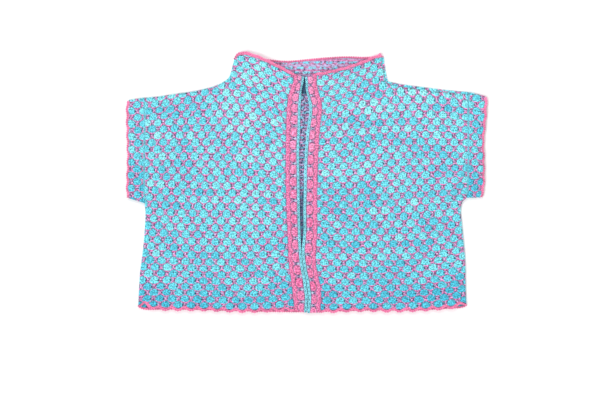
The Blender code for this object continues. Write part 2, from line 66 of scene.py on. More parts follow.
# Relief of the honeycomb
BUBBLE_RISE = 2.0
ARC_RISE = 0.7
HOLE_DROP = 1.3
KNOT_RISE = 0.35
STITCH_RISE = 0.12
SEAM_EASE = 2.2  # relief fades over this distance from a seam
FOLD_FACING = 0.3  # northward part of a face's normal on a fold rim that is given painted shade
FOLD_PAINTED_DIMMING = 0.8  # brightness left by that painted shade
BACK_TURN = 6.5  # the back's right side shows this far in from its fold
PRESSED = 0.6  # share of the relief left on the underside, which lies on the surface
SLOT_SHARE = 0.96  # width of a flattened sleeve's opening over its own
SEAM_RISE = 0.9  # of the armhole stitches over the cloth
SEAM_END = 5.0  # clear of stitches, at each end

# Edgings
SCALLOP_RISE = 1.9  # of the hem's edging between bubbles
SCALLOP_DROP = 0.9  # round a bubble
TIP_RISE = 5.0  # of the point at the collar's fold
TIP_REACH = 13.0
RIPPLE = 0.9  # of the collar's edging
COLLAR_EDGE_WIDE = 0.98
PINCH = 0.34  # share of its width that a strip loses where the slit is narrowest
SLIT_X = -5.5
PINCH_Y = 178.0
PINCH_REACH = 16.0
CORD_WIDE = 0.97  # width of the cord inside an edging, as a share of the edging's
PINK_PITCH = 4.4  # from one pair of yarn loops to the next
CUFF_EDGE_PITCH = 4.2
CHAIN_PITCH = 3.9
SEAM_PITCH = 4.1
BACK_LOOP = 1.1  # radius of a loop's yarn
FRONT_LOOP = 1.3
CUFF_EDGE_LOOP = 1.2
CHAIN_LOOP = 1.2
SEAM_LOOP = 0.8
CHAIN_WIDE = 0.8  # of the strips along the slit, over their solids'
LOOP_ASIDE = 0.48  # of a loop from the middle of its edging, over the half width
LOOP_LEAN = 0.55  # of a loop across its edging, over its run along it
EYE_ASIDE = 0.16  # of an open eye, likewise

# Mesh spacing
EDGE_STEP = 1.7
QUICK_FACTOR = 1.0
COLUMN_PARTS = 14  # points across one column of bubbles
ROW_PARTS = 8  # points along half a bubble
BACK_SPACING = 1.15  # of the back's points over a front's
INSIDE_SPARSE = 60  # one in so many points is kept on a plain inner face
BACK_SPARSE = 40  # the same, on the back's inner face
STEEP = 0.13  # a face with less upward normal than this is a wall
CORNER_TURN = math.radians(34)
CREASE_ANGLE = math.radians(62)

# Knit grid of each front: columns count bubbles from the band, rows count half bubbles upwards.
# x is given at columns 0, 6 and 12, and y at columns 0, 3, 6, 9 and 12.
X_COLUMNS = (0, 6, 12)
Y_COLUMNS = (0, 3, 6, 9, 12)
RIGHT_KNIT = (
    # row, x_band, x_mid, x_side, y_band, y_inner, y_mid, y_outer, y_side
    (-15, -26, -170, -320, -251, -257, -257, -254, -254),
    (-10, -31, -172, -314, -192, -198, -198, -196, -197),
    (-6, -36, -174, -309, -145, -149, -150, -148, -145),
    (-2, -40, -174, -304, -96, -98, -98, -96, -93),
    (2, -41, -174, -299, -49, -45, -44, -43, -39),
    (6, -41, -172, -296, 1, 7, 9, 11, 13),
    (10, -42, -170, -295, 49, 60, 64, 65, 65),
    (14, -42, -166, -293, 97, 114, 119, 118, 115),
    (17, -40, -164, -288, 128, 152, 161, 158, 150),
    (20, -34, -161, -284, 163, 187, 200, 201, 192),
    (26, -24, -155, -280, 227, 252, 262, 262, 252),
)
LEFT_KNIT = (
    # row, x_band, x_mid, x_side, y_band, y_inner, y_mid, y_outer, y_side
    (-15, 26, 178, 326, -249, -246, -245, -241, -229),
    (-10, 24, 170, 315, -184, -188, -187, -183, -174),
    (-6, 21, 165, 306, -138, -140, -140, -136, -123),
    (-2, 22, 163, 297, -89, -92, -91, -86, -76),
    (2, 23, 160, 290, -39, -40, -37, -33, -27),
    (6, 23, 160, 292, 8, 9, 13, 16, 17),
    (10, 26, 161, 292, 55, 59, 65, 67, 65),
    (14, 32, 159, 291, 103, 110, 116, 118, 115),
    (17, 33, 159, 291, 135, 149, 157, 159, 151),
    (20, 26, 152, 278, 170, 182, 202, 212, 208),
    (26, 24, 140, 256, 232, 244, 275, 290, 295),
)
BACK_KNIT = (
    (-20, 0, 144, 288, -260, -260, -260, -260, -260),
    (20, 0, 144, 288, 260, 260, 260, 260, 260),
)
# Steps that find the knit column and row of a place
NEWTON_STEP = 0.05
NEWTON_ROUNDS = 12

# A bubble sits where twice the column plus the row plus this is even.
RIGHT_PHASE = 1
LEFT_PHASE = 0
BACK_PHASE = 0

# Soft creases left by handling, as segments along their crests
RIGHT_CREASES = (
    # x and y of both ends, rise, half width
    (-128, -76, -50, -76, 1.2, 16),
    (-117, 21, -58, 19, 0.8, 13),
)
LEFT_CREASES = (
    (301, 68, 296, 16, 4.2, 9),
    (296, 16, 262, -30, 4.2, 8.5),
    (41, -32, 136, -32, 1.1, 15),
    (41, 43, 136, 39, 0.9, 13),
)

# Sleeves: share of the length from the seam at the inner column, and columns along the whole length
CUFF_INNER_SHARE = 0.465
CUFF_COLUMNS = 1.35
CUFF_ROW = 12.2  # half a bubble
RIGHT_CUFF_BUBBLE_Y = 149.3  # a bubble's centre in the inner column
LEFT_CUFF_BUBBLE_Y = 161.5
CUFF_SHARE_STEPS = 22  # rings from the seam to the edging
CUFF_REACH = 0.42  # of the edging's width, covered by the sleeve's cloth
CUFF_BULGE = 1.3  # of the cloth's rim at each outer bubble
CUFF_EDGE_BULGE = 0.9
CUFF_BULGE_FADE = 0.03  # share of the length, at each end
CUFF_FOLD_STEPS = (0, 0.35, 1.1, 2.3, 3.6, 5.0)  # close points beside a fold
CUFF_FOLD_END = 6  # even points start here

# Front bands: the ridge beside the front, and the bubbles from the top down
RIDGE_WIDTH = 8.0
RIDGE_RISE = 1.5
RIDGE_SWAY = 0.12  # of its own width, away from each bubble
BAND_BUBBLES = (
    # bubble, y on the right band, y on the left band
    (-2, 237.0, 231.0),
    (0, 200.8, 194.9),
    (2, 162.5, 155.6),
    (4, 119.7, 114.2),
    (7, 47.9, 43.5),
    (10, -21.9, -27.2),
    (13, -93.9, -100.9),
    (16, -166.3, -172.0),
    (20, -263.0, -271.0),
)
BAND_BUBBLE_WIDE = 0.54
BAND_BUBBLE_TALL = 0.36
BAND_BUBBLE_POWER = 2.5
BAND_BUBBLE_RISE = 2.2
BAND_DROP = 0.7  # of the net beside the bubbles
BAND_EASE = 1.6  # relief fades over this distance from the band's edges
BAND_WIDTH = 22
BAND_STEP = 1.3
BAND_STITCHES_ACROSS = 2.6  # in the ridge's width
BAND_STITCHES_UP = 6.0  # in one bubble
BAND_MARKS = (
    # mark, across, along, wide, tall
    ("tie", 1.72, 0.0, 0.36, 0.12),
    ("upper_dot", 1.5, 0.085, 0.2, 0.075),
    ("lower_dot", 1.55, -0.085, 0.2, 0.075),
)

# Shape of a bubble in its cell, in columns across and half bubbles up
BUBBLE_WIDE = 0.38
BUBBLE_TALL = 0.605
BUBBLE_TAPER = 0.42
BUBBLE_POWER = 2.1
BUBBLE_SHIFT = 0.03
BUBBLE_ASIDE = 0.035  # of each bubble from the middle of its cell
BUBBLE_DOWN = 0.13
BUBBLE_STRAY_ASIDE = 0.03  # how far bubbles stray at most, and how much their sizes vary
BUBBLE_STRAY_UP = 0.05
BUBBLE_SIZES = 0.055
ARC_REACH = 1.56  # of the pink arc below a bubble, in the bubble's radii
STITCHES_ACROSS = 5.0  # in one column of bubbles
STITCHES_UP = 3.0  # in half a bubble
GRAINS_ACROSS = 6.3  # spots of colour, in the same
GRAINS_UP = 3.5
NET_MARKS = (
    # mark, across, up, wide, tall, in a cell between bubbles
    ("knot", -0.03, 0.0, 0.11, 0.17),
    ("purl", 0.06, -0.27, 0.12, 0.17),
    ("left_hole", -0.15, -0.17, 0.085, 0.22),
    ("right_hole", 0.17, -0.12, 0.07, 0.18),
)

# Colours, as linear red, green and blue
CYAN_STOPS = (
    (0.0, (0.05, 0.50, 0.68)),
    (0.35, (0.11, 0.65, 0.80)),
    (0.65, (0.19, 0.77, 0.87)),
    (1.0, (0.34, 0.90, 0.94)),
)
NET_PINK = (0.50, 0.24, 0.48)
ARC_PINK = (0.74, 0.14, 0.40)
PURL_PINK = (0.80, 0.30, 0.60)
KNOT_LILAC = (0.60, 0.52, 0.76)
# Painted shadow on the upper flank of each bubble, where it dips under the arcs of the bubbles above
RIM_PAINTED_SHADOW = (0.10, 0.15, 0.27)
WRONG_PINK = (0.60, 0.20, 0.40)
WRONG_LILAC = (0.46, 0.38, 0.62)
WRONG_DARK = (0.05, 0.09, 0.20)
# Painted shadow in the slit between the bands
SLIT_PAINTED_SHADOW = (0.01, 0.06, 0.13)
# Painted shade in the knit's holes and in the dark gaps of its net
HOLE_PAINTED_SHADE = (0.06, 0.03, 0.12)
BAND_PINK = (0.90, 0.14, 0.37)
BAND_PINK_PALE = (1.0, 0.35, 0.61)
RIDGE_PINK = (0.95, 0.20, 0.45)
TIE_CYAN = (0.42, 0.66, 0.80)
# Painted shade in the groove between the ridge and the band's bubbles
GROOVE_PAINTED_SHADE = (0.20, 0.18, 0.27)
SPLIT_PINK = (0.90, 0.44, 0.66)
EDGE_PINK = (0.97, 0.25, 0.48)
# Painted shade of the pink yarn, on the cord between an edging's loops and in its open eyes
EDGE_PINK_PAINTED_SHADE = (0.66, 0.10, 0.27)
CHAIN_CYAN = (0.30, 0.84, 0.96)
# Painted shade of the turquoise yarn, likewise
CHAIN_PAINTED_SHADE = (0.02, 0.22, 0.30)
SEAM_CYAN = (0.20, 0.66, 0.78)
# Painted shade of the seam yarn, likewise
SEAM_PAINTED_SHADE = (0.06, 0.34, 0.46)

# Colour slots of a Mix node
MIX_A, MIX_B, MIX_RESULT = 6, 7, 2


# ---------------- values for arrays and for nodes


class Field:
    """A value or a colour in a material's node tree. Arithmetic with it adds Math nodes."""

    def __init__(self, tree, socket):
        self.tree = tree
        self.socket = socket

    def math(self, operation, *others):
        inputs = dict(enumerate((self, *others)))
        return add_node(self.tree, "ShaderNodeMath", inputs, operation=operation)

    def __add__(self, other):
        return self.math("ADD", other)

    def __sub__(self, other):
        return self.math("SUBTRACT", other)

    def __rsub__(self, other):
        return (self * -1.0) + other

    def __mul__(self, other):
        return self.math("MULTIPLY", other)

    def __truediv__(self, other):
        return self.math("DIVIDE", other)

    def __pow__(self, other):
        return self.math("POWER", other)

    def __abs__(self):
        return self.math("ABSOLUTE")

    __radd__ = __add__
    __rmul__ = __mul__


def add_node(tree, kind, inputs, output=0, **settings):
    """An output of a new node, whose inputs are fields or plain values."""
    node = tree.nodes.new(kind)
    for name, value in settings.items():
        setattr(node, name, value)
    for key, value in inputs.items():
        if isinstance(value, Field):
            tree.links.new(value.socket, node.inputs[key])
        else:
            node.inputs[key].default_value = value
    return Field(tree, node.outputs[output])


def for_both(operation, on_arrays):
    """A function that adds a Math node to a field, and works on arrays too."""

    def applied(x, *others):
        return x.math(operation, *others) if isinstance(x, Field) else on_arrays(x, *others)

    return applied


least = for_both("MINIMUM", np.minimum)
most = for_both("MAXIMUM", np.maximum)
below = for_both("LESS_THAN", np.less)
wave = for_both("SINE", np.sin)
rounded_down = for_both("FLOOR", np.floor)


def whole(x):
    return rounded_down(x + 0.5)


def clamped(x):
    return least(most(x, 0.0), 1.0)


def square(x):
    return x * x


def ramp(x, low, high):
    """0 at low, 1 at high, eased at both ends. low may be the larger."""
    t = clamped((x - low) * (1.0 / (high - low)))
    return t * t * (3.0 - 2.0 * t)


def spot(a, b, at_a, at_b, wide, tall):
    """1 at a place in a cell, fading to 0 at an ellipse round it."""
    return ramp(square((a - at_a) * (1.0 / wide)) + square((b - at_b) * (1.0 / tall)), 1.0, 0.25)


def lattice(u, v, shift):
    """Place within the two sets of cells, those in whole columns and those half a column over."""
    row = v - shift
    whole_u, whole_v = whole(u), whole(row * 0.5) * 2.0
    half_u, half_v = whole(u - 0.5) + 0.5, whole((row - 1.0) * 0.5) * 2.0 + 1.0
    return (whole_u, whole_v + shift), (half_u, half_v + shift)


def roundness(a, b):
    """1 on a bubble's rim, 0 at its crown, from the place in its cell."""
    above = b - BUBBLE_SHIFT
    wide = (1.0 - above * BUBBLE_TAPER) * BUBBLE_WIDE
    across = abs(a) / wide
    up = abs(above) * (1.0 / BUBBLE_TALL)
    return (across**BUBBLE_POWER + up**BUBBLE_POWER) ** (1.0 / BUBBLE_POWER)


def uneven(cell, by_column, by_row):
    """A fixed irregular value from -1 to 1 for each cell."""
    return wave(cell[0] * by_column + cell[1] * by_row)


def honeycomb(u, v):
    """What lies at knit column u and row v: distance to the nearest bubble's rim, that bubble's cell,
    and the masks of the net's arcs, of the painted shadow on each bubble's upper flank, knots, purls and
    holes."""
    cells = lattice(u, v, 0.0)
    rims = []
    for cell in cells:
        a = u - cell[0] - BUBBLE_ASIDE + uneven(cell, 5.3, 3.7) * BUBBLE_STRAY_ASIDE
        b = v - cell[1] + BUBBLE_DOWN + uneven(cell, 3.1, 7.9) * BUBBLE_STRAY_UP
        rims.append(roundness(a, b) * (uneven(cell, 9.1, 5.9) * BUBBLE_SIZES + 1.0))
    first = below(*rims)
    cell_u, cell_v = (b + (a - b) * first for a, b in zip(*cells))
    rim = least(*rims)
    up = v - cell_v
    reach = ARC_REACH - ramp(up, -0.6, -0.15) * 0.26
    parts = {
        "rim": rim,
        "cell": (cell_u, cell_v),
        "arc": ramp(rim - reach, 0.0, -0.16) * ramp(up, 0.08, -0.22),
        # shade: where painted shadow falls on a bubble's upper flank
        "shade": ramp(abs(rim - 1.1), 0.26, 0.1) * ramp(up, -0.3, 0.2),
    }
    places = [(u - cu, v - cv) for cu, cv in lattice(u, v, 1.0)]
    for mark, *shape in NET_MARKS:
        parts[mark] = sum(spot(a, b, *shape) for a, b in places)
    return parts


def band_parts(u, v):
    """Parts of a front band: distance to the nearest bubble's rim and to the ridge's, and small masks."""
    cell = whole(v)
    wide = (abs(u - 1.5) * (1.0 / BAND_BUBBLE_WIDE)) ** BAND_BUBBLE_POWER
    tall = (abs(v - cell) * (1.0 / BAND_BUBBLE_TALL)) ** BAND_BUBBLE_POWER
    rim = (wide + tall) ** (1.0 / BAND_BUBBLE_POWER)
    sway = wave(v * math.tau + math.pi / 2) * RIDGE_SWAY
    parts = {
        "rim": rim,
        "cell": cell,
        "ridge": abs(u - 0.5 + sway) * 2.0,
        # shade: where painted shade falls in the groove beside each bubble
        "shade": ramp(abs(rim - 1.08), 0.22, 0.06) * ramp(u, 1.5, 1.15),
    }
    between = v - whole(v - 0.5) - 0.5
    for mark, *shape in BAND_MARKS:
        parts[mark] = spot(u, between, *shape)
    return parts


def stitches(u, v):
    """Height of single knit stitches: two legs of a V in each, 0 in the grooves and 1 on the legs."""
    across = u - whole(u)
    leg = abs(abs(across) - 0.25) * 4.0
    up = v + abs(across) * 0.9
    row = up - whole(up)
    return clamped(1.0 - square(leg)) * clamped(1.0 - square(row * 2.0))


# ---------------- knit grid


def knit_places(table, columns, rows):
    """Places in the plane of knit columns and rows, as x, y."""
    t = np.array(table, float)

    def through(stations, values):
        total = np.zeros(len(columns))
        for i, station in enumerate(stations):
            weight = np.interp(rows, t[:, 0], values[:, i])
            for other in stations:
                if other != station:
                    weight = weight * (columns - other) / (station - other)
            total += weight
        return total

    across = len(X_COLUMNS)
    x = through(X_COLUMNS, t[:, 1 : 1 + across])
    y = through(Y_COLUMNS, t[:, 1 + across :])
    return np.column_stack([x, y])


def knit_of(table, places):
    """Knit column and row of places in the plane, by Newton's method."""
    t = np.array(table, float)
    low, high = t[0], t[-1]
    columns = (places[:, 0] - low[1]) / (low[3] - low[1]) * X_COLUMNS[-1]
    rows = low[0] + (places[:, 1] - low[6]) / (high[6] - low[6]) * (high[0] - low[0])
    step = NEWTON_STEP
    for _ in range(NEWTON_ROUNDS):
        here = knit_places(table, columns, rows)
        by_column = (knit_places(table, columns + step, rows) - here) / step
        by_row = (knit_places(table, columns, rows + step) - here) / step
        off = places[:, :2] - here
        det = by_column[:, 0] * by_row[:, 1] - by_row[:, 0] * by_column[:, 1]
        columns = columns + (off[:, 0] * by_row[:, 1] - off[:, 1] * by_row[:, 0]) / det
        rows = rows + (off[:, 1] * by_column[:, 0] - off[:, 0] * by_column[:, 1]) / det
        rows = np.clip(rows, t[0, 0] - 2, t[-1, 0] + 2)
    return columns, rows


# ---------------- outlines from the frame


def unit(vectors):
    return vectors / np.maximum(np.linalg.norm(vectors, axis=1), 1e-9)[:, None]


def outline(node):
    """The upper outline of a solid, counter-clockwise: x, y, height of the foot, height of the rim."""
    floor_level = (FRONT_FLOOR + FOLD_RIM / 2) * MM if "cuff" in node else -1.0
    bm = bmesh.new()
    bm.from_mesh(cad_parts[node].data)
    bmesh.ops.remove_doubles(bm, verts=bm.verts, dist=1e-5)
    bm.normal_update()
    follow = {}
    for edge in bm.edges:
        steep = [face for face in edge.link_faces if abs(face.normal.z) < STEEP]
        upward = [face for face in edge.link_faces if face.normal.z >= STEEP]
        a, b = edge.verts
        high_enough = min(a.co.z, b.co.z) > floor_level
        if len(steep) == 1 and len(upward) == 1 and high_enough:
            follow.setdefault(a.index, []).append(b.index)
            follow.setdefault(b.index, []).append(a.index)
    bm.verts.ensure_lookup_table()
    feet = {}
    for vert in bm.verts:
        key = (round(vert.co.x, 5), round(vert.co.y, 5))
        feet[key] = min(vert.co.z, feet.get(key, vert.co.z))

    loops, left = [], set(follow)
    while left:
        start = left.pop()
        walk, at, last = [start], follow[start][0], start
        while at != start:
            walk.append(at)
            left.discard(at)
            ahead = [index for index in follow[at] if index != last]
            at, last = ahead[0], at
        loops.append(walk)
    highest = max(loops, key=lambda walk: (round(np.mean([bm.verts[i].co.z for i in walk]), 4), len(walk)))
    rows = []
    for index in highest:
        co = bm.verts[index].co
        foot = feet[(round(co.x, 5), round(co.y, 5))]
        rows.append((co.x / MM, co.y / MM, foot / MM, co.z / MM))
    bm.free()
    loop = np.array(rows)
    x, y = loop[:, 0], loop[:, 1]
    if x @ np.roll(y, -1) - y @ np.roll(x, -1) < 0:
        loop = loop[::-1]
    return loop


def turns(loop):
    """How far the outline turns at each of its points."""
    before = unit(loop[:, :2] - np.roll(loop[:, :2], 1, axis=0))
    after = np.roll(before, -1, axis=0)
    return np.arctan2(np.cross(before, after), (before * after).sum(axis=1))


def smooth_run(points, step, closed=False):
    """Points about a step apart along a smooth curve through the given ones."""
    if closed:
        before, after = points[-1:], points[:2]
        points = np.vstack([points, points[:1]])
        q = np.vstack([before, points, after[1:]])
    else:
        q = np.vstack([2 * points[0] - points[1], points, 2 * points[-1] - points[-2]])
    pieces = []
    for a, b, c, d in zip(q, q[1:], q[2:], q[3:]):
        count = max(1, int(round(np.hypot(*(c - b)[:2]) / step)))
        t = np.linspace(0, 1, count, endpoint=False)[:, None]
        bend = 2 * b + (c - a) * t + (2 * a - 5 * b + 4 * c - d) * t**2 + (3 * b - a - 3 * c + d) * t**3
        pieces.append(0.5 * bend)
    return np.vstack(pieces + ([] if closed else [points[-1:]]))


def smooth_outline(loop, step):
    """The outline with points a step apart, smooth between its corners."""
    corners = np.nonzero(np.abs(turns(loop)) > CORNER_TURN)[0]
    if len(corners) == 0:
        return smooth_run(loop, step, closed=True)
    loop = np.roll(loop, -corners[0], axis=0)
    corners = list(corners - corners[0]) + [len(loop)]
    loop = np.vstack([loop, loop[:1]])
    runs = [smooth_run(loop[a : b + 1], step)[:-1] for a, b in zip(corners, corners[1:])]
    return np.vstack(runs)


def two_sides(loop):
    """The long sides of a strip, both running the same way, split at its four sharpest corners."""
    corners = sorted(np.argsort(-np.abs(turns(loop)))[:4])
    loop = np.roll(loop, -corners[0], axis=0)
    corners = [c - corners[0] for c in corners] + [len(loop)]
    loop = np.vstack([loop, loop[:1]])
    runs = [loop[a : b + 1] for a, b in zip(corners, corners[1:])]
    lengths = [np.hypot(*np.diff(run[:, :2], axis=0).T).sum() for run in runs]
    if lengths[0] + lengths[2] > lengths[1] + lengths[3]:
        return runs[0], runs[2][::-1]
    return runs[1], runs[3][::-1]


def length_along(line):
    return np.concatenate([[0], np.cumsum(np.hypot(*np.diff(line[:, :2], axis=0).T))])


def resampled(line, shares):
    walked = length_along(line)
    return np.column_stack([np.interp(np.array(shares) * walked[-1], walked, values) for values in line.T])


def nearest_on(points, line):
    """Distance in the plane from points to the nearest of a line's own points, and that one's index."""
    tree = KDTree(len(line))
    for i, point in enumerate(line):
        tree.insert((point[0], point[1], 0), i)
    tree.balance()
    found = [tree.find((x, y, 0)) for x, y in points[:, :2]]
    return np.array([f[2] for f in found]), np.array([f[1] for f in found])


def inside(points, loop):
    """Which points lie within a loop."""
    x, y = points[:, 0], points[:, 1]
    crossings = np.zeros(len(points), int)
    for (ax, ay), (bx, by) in zip(loop[:, :2], np.roll(loop[:, :2], -1, axis=0)):
        if ay == by:
            continue
        spans = (ay > y) != (by > y)
        crossings += spans & (x < ax + (y - ay) * (bx - ax) / (by - ay))
    return crossings % 2 == 1


# ---------------- meshes


def add_object(name, data):
    made = bpy.data.objects.new(name, data)
    bpy.context.scene.collection.objects.link(made)
    return made


def make_object(name, points, faces, knit, materials, slots=None):
    """A smooth mesh object from points in mm, faces, and knit coordinates for each point."""
    mesh = bpy.data.meshes.new(name)
    mesh.from_pydata((np.asarray(points) * MM).tolist(), [], faces)
    for material in materials:
        mesh.materials.append(material)
    if slots is not None:
        mesh.polygons.foreach_set("material_index", np.asarray(slots, np.int32))
    corners = np.zeros(len(mesh.loops), np.int32)
    mesh.loops.foreach_get("vertex_index", corners)
    layer = mesh.uv_layers.new(name="knit")
    layer.data.foreach_set("uv", np.asarray(knit, np.float32)[corners].ravel())
    mesh.shade_smooth()
    mesh.set_sharp_from_angle(angle=CREASE_ANGLE)
    mesh.update()
    made = add_object(name, mesh)
    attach(made, "root")
    return made


def in_place_of(node, made):
    """Shows a piece in the place of its solid, where it has one."""
    if node:
        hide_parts(node)
    return made


def triangles_over(rim, inner):
    """Triangles over a rim and the points within it, as indices into both, rim first."""
    points = np.vstack([rim[:, :2], inner[:, :2]])
    flat = [Vector(point) for point in points]
    _, _, faces, sources, *_ = delaunay_2d_cdt(flat, [], [list(range(len(rim)))], 1, 1e-6)
    first = [source[0] for source in sources]
    return [[first[i] for i in face] for face in faces]


def sheet(name, loop, rims, upper, lower, knits, materials):
    """A closed piece of cloth: upper and lower face over one outline, and the wall between them. rims
    holds the wall's upper and lower level, knits the knit coordinates of wall, upper and lower face."""
    count = len(loop)
    top, bottom = (np.column_stack([loop[:, :2], level]) for level in rims)
    knit_rim, knit_upper, knit_lower = knits
    above = triangles_over(loop, upper)
    start = count + len(upper)
    under = [[start + i for i in reversed(face)] for face in triangles_over(loop, lower)]
    wall = [[i, start + i, start + (i + 1) % count, (i + 1) % count] for i in range(count)]
    return make_object(
        name,
        np.vstack([top, upper, bottom, lower]),
        above + under + wall,
        np.vstack([knit_rim, knit_upper, knit_rim, knit_lower]),
        materials,
        [0] * len(above) + [1] * len(under) + [0] * len(wall),
    )


def grid_faces(rows, columns, start=0, wrap_rows=False, wrap_columns=False):
    """Faces of a grid of points held row by row. It may close on itself either way."""
    faces = []
    for i in range(rows if wrap_rows else rows - 1):
        here, above = start + i * columns, start + (i + 1) % rows * columns
        for j in range(columns if wrap_columns else columns - 1):
            k = (j + 1) % columns
            faces.append([here + j, here + k, above + k, above + j])
    return faces


def rim_faces(rows, columns):
    """Faces between the rims of two grids held one after the other."""
    rim = list(range(columns))
    rim += [i * columns + columns - 1 for i in range(1, rows)]
    rim += [(rows - 1) * columns + j for j in range(columns - 2, -1, -1)]
    rim += [i * columns for i in range(rows - 2, 0, -1)]
    under = rows * columns
    return [[a, b, b + under, a + under] for a, b in zip(rim, rim[1:] + rim[:1])]


def ellipsoid(centre, along, radii, parts=(8, 5)):
    """Points and faces of a small ellipsoid. along is its long axis in the plane, and radii are along,
    across and up."""
    turns_round, levels = parts
    polar = math.pi * (np.arange(levels)[:, None] + 0.5) / levels
    angle = math.tau * np.arange(turns_round) / turns_round
    ahead = radii[0] * np.cos(polar) + 0 * angle
    aside = radii[1] * np.sin(polar) * np.cos(angle)
    up = radii[2] * np.sin(polar) * np.sin(angle)
    x = along[0] * ahead - along[1] * aside
    y = along[1] * ahead + along[0] * aside
    faces = grid_faces(levels, turns_round, wrap_columns=True)
    faces.append(list(range(turns_round))[::-1])
    faces.append([(levels - 1) * turns_round + j for j in range(turns_round)])
    return centre + np.stack([x, y, up], axis=-1).reshape(-1, 3), faces


# ---------------- materials


def new_material(name, roughness=0.9, sheen=0.25):
    made = bpy.data.materials.new(name)
    made.use_nodes = True
    inputs = made.node_tree.nodes["Principled BSDF"].inputs
    inputs["Roughness"].default_value = roughness
    inputs["Specular IOR Level"].default_value = 0.25
    inputs["Sheen Weight"].default_value = sheen
    inputs["Sheen Roughness"].default_value = 0.6
    return made


def finished(made, colour, tone, height, distance):
    """The material with its colour, scaled by a tone, and a fine bump."""
    tree = made.node_tree
    inputs = tree.nodes["Principled BSDF"].inputs
    scaled = add_node(tree, "ShaderNodeVectorMath", {0: colour, "Scale": tone}, operation="SCALE")
    bump = add_node(tree, "ShaderNodeBump", {"Height": height, "Distance": distance, "Strength": 1.0})
    tree.links.new(scaled.socket, inputs["Base Color"])
    tree.links.new(bump.socket, inputs["Normal"])
    return made


def knit_fields(made):
    """The knit column and row at each shaded point."""
    tree = made.node_tree
    place = add_node(tree, "ShaderNodeUVMap", {}, uv_map="knit")
    return [add_node(tree, "ShaderNodeSeparateXYZ", {0: place}, output) for output in (0, 1)]


def joined(u, v):
    return add_node(u.tree, "ShaderNodeCombineXYZ", {0: u, 1: v})


def random_at(u, v):
    """A fixed random value for each whole place."""
    inputs = {"Vector": joined(u, v)}
    return add_node(u.tree, "ShaderNodeTexWhiteNoise", inputs, "Value", noise_dimensions="2D")


def noise(place, scale, detail=1.0):
    inputs = {"Vector": place, "Scale": scale, "Detail": detail}
    return add_node(place.tree, "ShaderNodeTexNoise", inputs, "Fac", noise_dimensions="2D")


def colour_ramp(factor, stops):
    node = factor.tree.nodes.new("ShaderNodeValToRGB")
    ramp_stops = node.color_ramp.elements
    for _ in range(len(stops) - 2):
        ramp_stops.new(0.5)
    for element, (place, colour) in zip(ramp_stops, stops):
        element.position = place
        element.color = (*colour, 1.0)
    factor.tree.links.new(factor.socket, node.inputs[0])
    return Field(factor.tree, node.outputs["Color"])


def mixed(factor, a, b):
    """Colour a turning into colour b with the factor. Each may be a field or a plain colour."""
    a, b = (colour if isinstance(colour, Field) else (*colour, 1.0) for colour in (a, b))
    inputs = {0: factor, MIX_A: a, MIX_B: b}
    return add_node(factor.tree, "ShaderNodeMix", inputs, MIX_RESULT, data_type="RGBA")


def yarn_shade(u, v, cell_u, cell_v):
    """Shade of the turquoise yarn, 0 to 1: as hand-dyed yarn it drifts along each row and from bubble to
    bubble. It is also made deeper towards the hem and the lower side."""
    drift = noise(joined(cell_u * 0.16, cell_v * 0.9), 1.0) - 0.5
    own = random_at(cell_u, cell_v) - 0.5
    fine = noise(joined(u * 2.4, v * 1.2), 2.2, 2.0) - 0.5
    lower = v * 0.006 - ramp(v, -6.0, -14.0) * 0.3 - ramp(u, -7.0, -12.0) * ramp(v, -6.0, -12.0) * 0.3
    return clamped(drift + own * 0.34 + fine * 0.8 + lower + 0.48)


def honeycomb_material(name, brightness=1.0):
    """Turquoise bubbles on a pink net, seen from the right side. A brightness below 1 makes a darker copy,
    painted shade.
    """
    made = new_material(name)
    u, v = knit_fields(made)
    parts = honeycomb(u, v)
    cell_u, cell_v = parts["cell"]
    stitch = stitches(u * STITCHES_ACROSS, v * STITCHES_UP)
    grain = noise(joined(u * GRAINS_ACROSS, v * GRAINS_UP), 1.3)
    specks = noise(joined(u * GRAINS_ACROSS + 31.0, v * GRAINS_UP), 1.3, 0.0)

    net = mixed(parts["arc"], NET_PINK, ARC_PINK)
    net = mixed(parts["purl"] * 0.85, net, PURL_PINK)
    paleness = ramp(random_at(cell_u + 0.3, cell_v + 0.7), 0.05, 0.6)
    net = mixed(parts["knot"] * (paleness * 0.6 + 0.4), net, KNOT_LILAC)
    in_bubble = ramp(parts["rim"] + (grain - 0.5) * 0.55, 1.03, 0.92)
    colour = mixed(in_bubble, net, colour_ramp(yarn_shade(u, v, cell_u, cell_v), CYAN_STOPS))
    # Painted shadow on the upper flanks of the bubbles
    colour = mixed(parts["shade"] * ramp(specks, 0.34, 0.56) * 0.85, colour, RIM_PAINTED_SHADOW)

    luck = random_at(cell_u + 5.1, cell_v + 2.3)
    # Painted shade in the net's holes
    left_hole = parts["left_hole"] * ramp(luck, -0.1, 0.6) * 0.95
    right_hole = parts["right_hole"] * ramp(luck, 1.1, 0.1) * 0.75
    colour = mixed(clamped(left_hole + right_hole), colour, HOLE_PAINTED_SHADE)
    outside = ramp(parts["rim"], 0.92, 1.08)
    # Painted shade in dark gaps among the net's stitches, then pale lilac specks of its yarn
    colour = mixed(ramp(specks, 0.36, 0.28) * outside * 0.7, colour, HOLE_PAINTED_SHADE)
    colour = mixed(ramp(specks, 0.64, 0.74) * outside * 0.55, colour, KNOT_LILAC)

    mottled = (grain - 0.5) * ((1.0 - in_bubble) * 0.7 + 2.2)
    # Painted light: the lower part of each bubble is made lighter
    painted_lower_light = (cell_v - v) * in_bubble * 0.1
    # The stitch term darkens the grooves between stitches: painted shade
    tone = (stitch - 0.45) * 0.24 + mottled + painted_lower_light + 0.885 * brightness
    return finished(made, colour, tone, stitch * 0.6 + grain * 0.7, 0.0008)


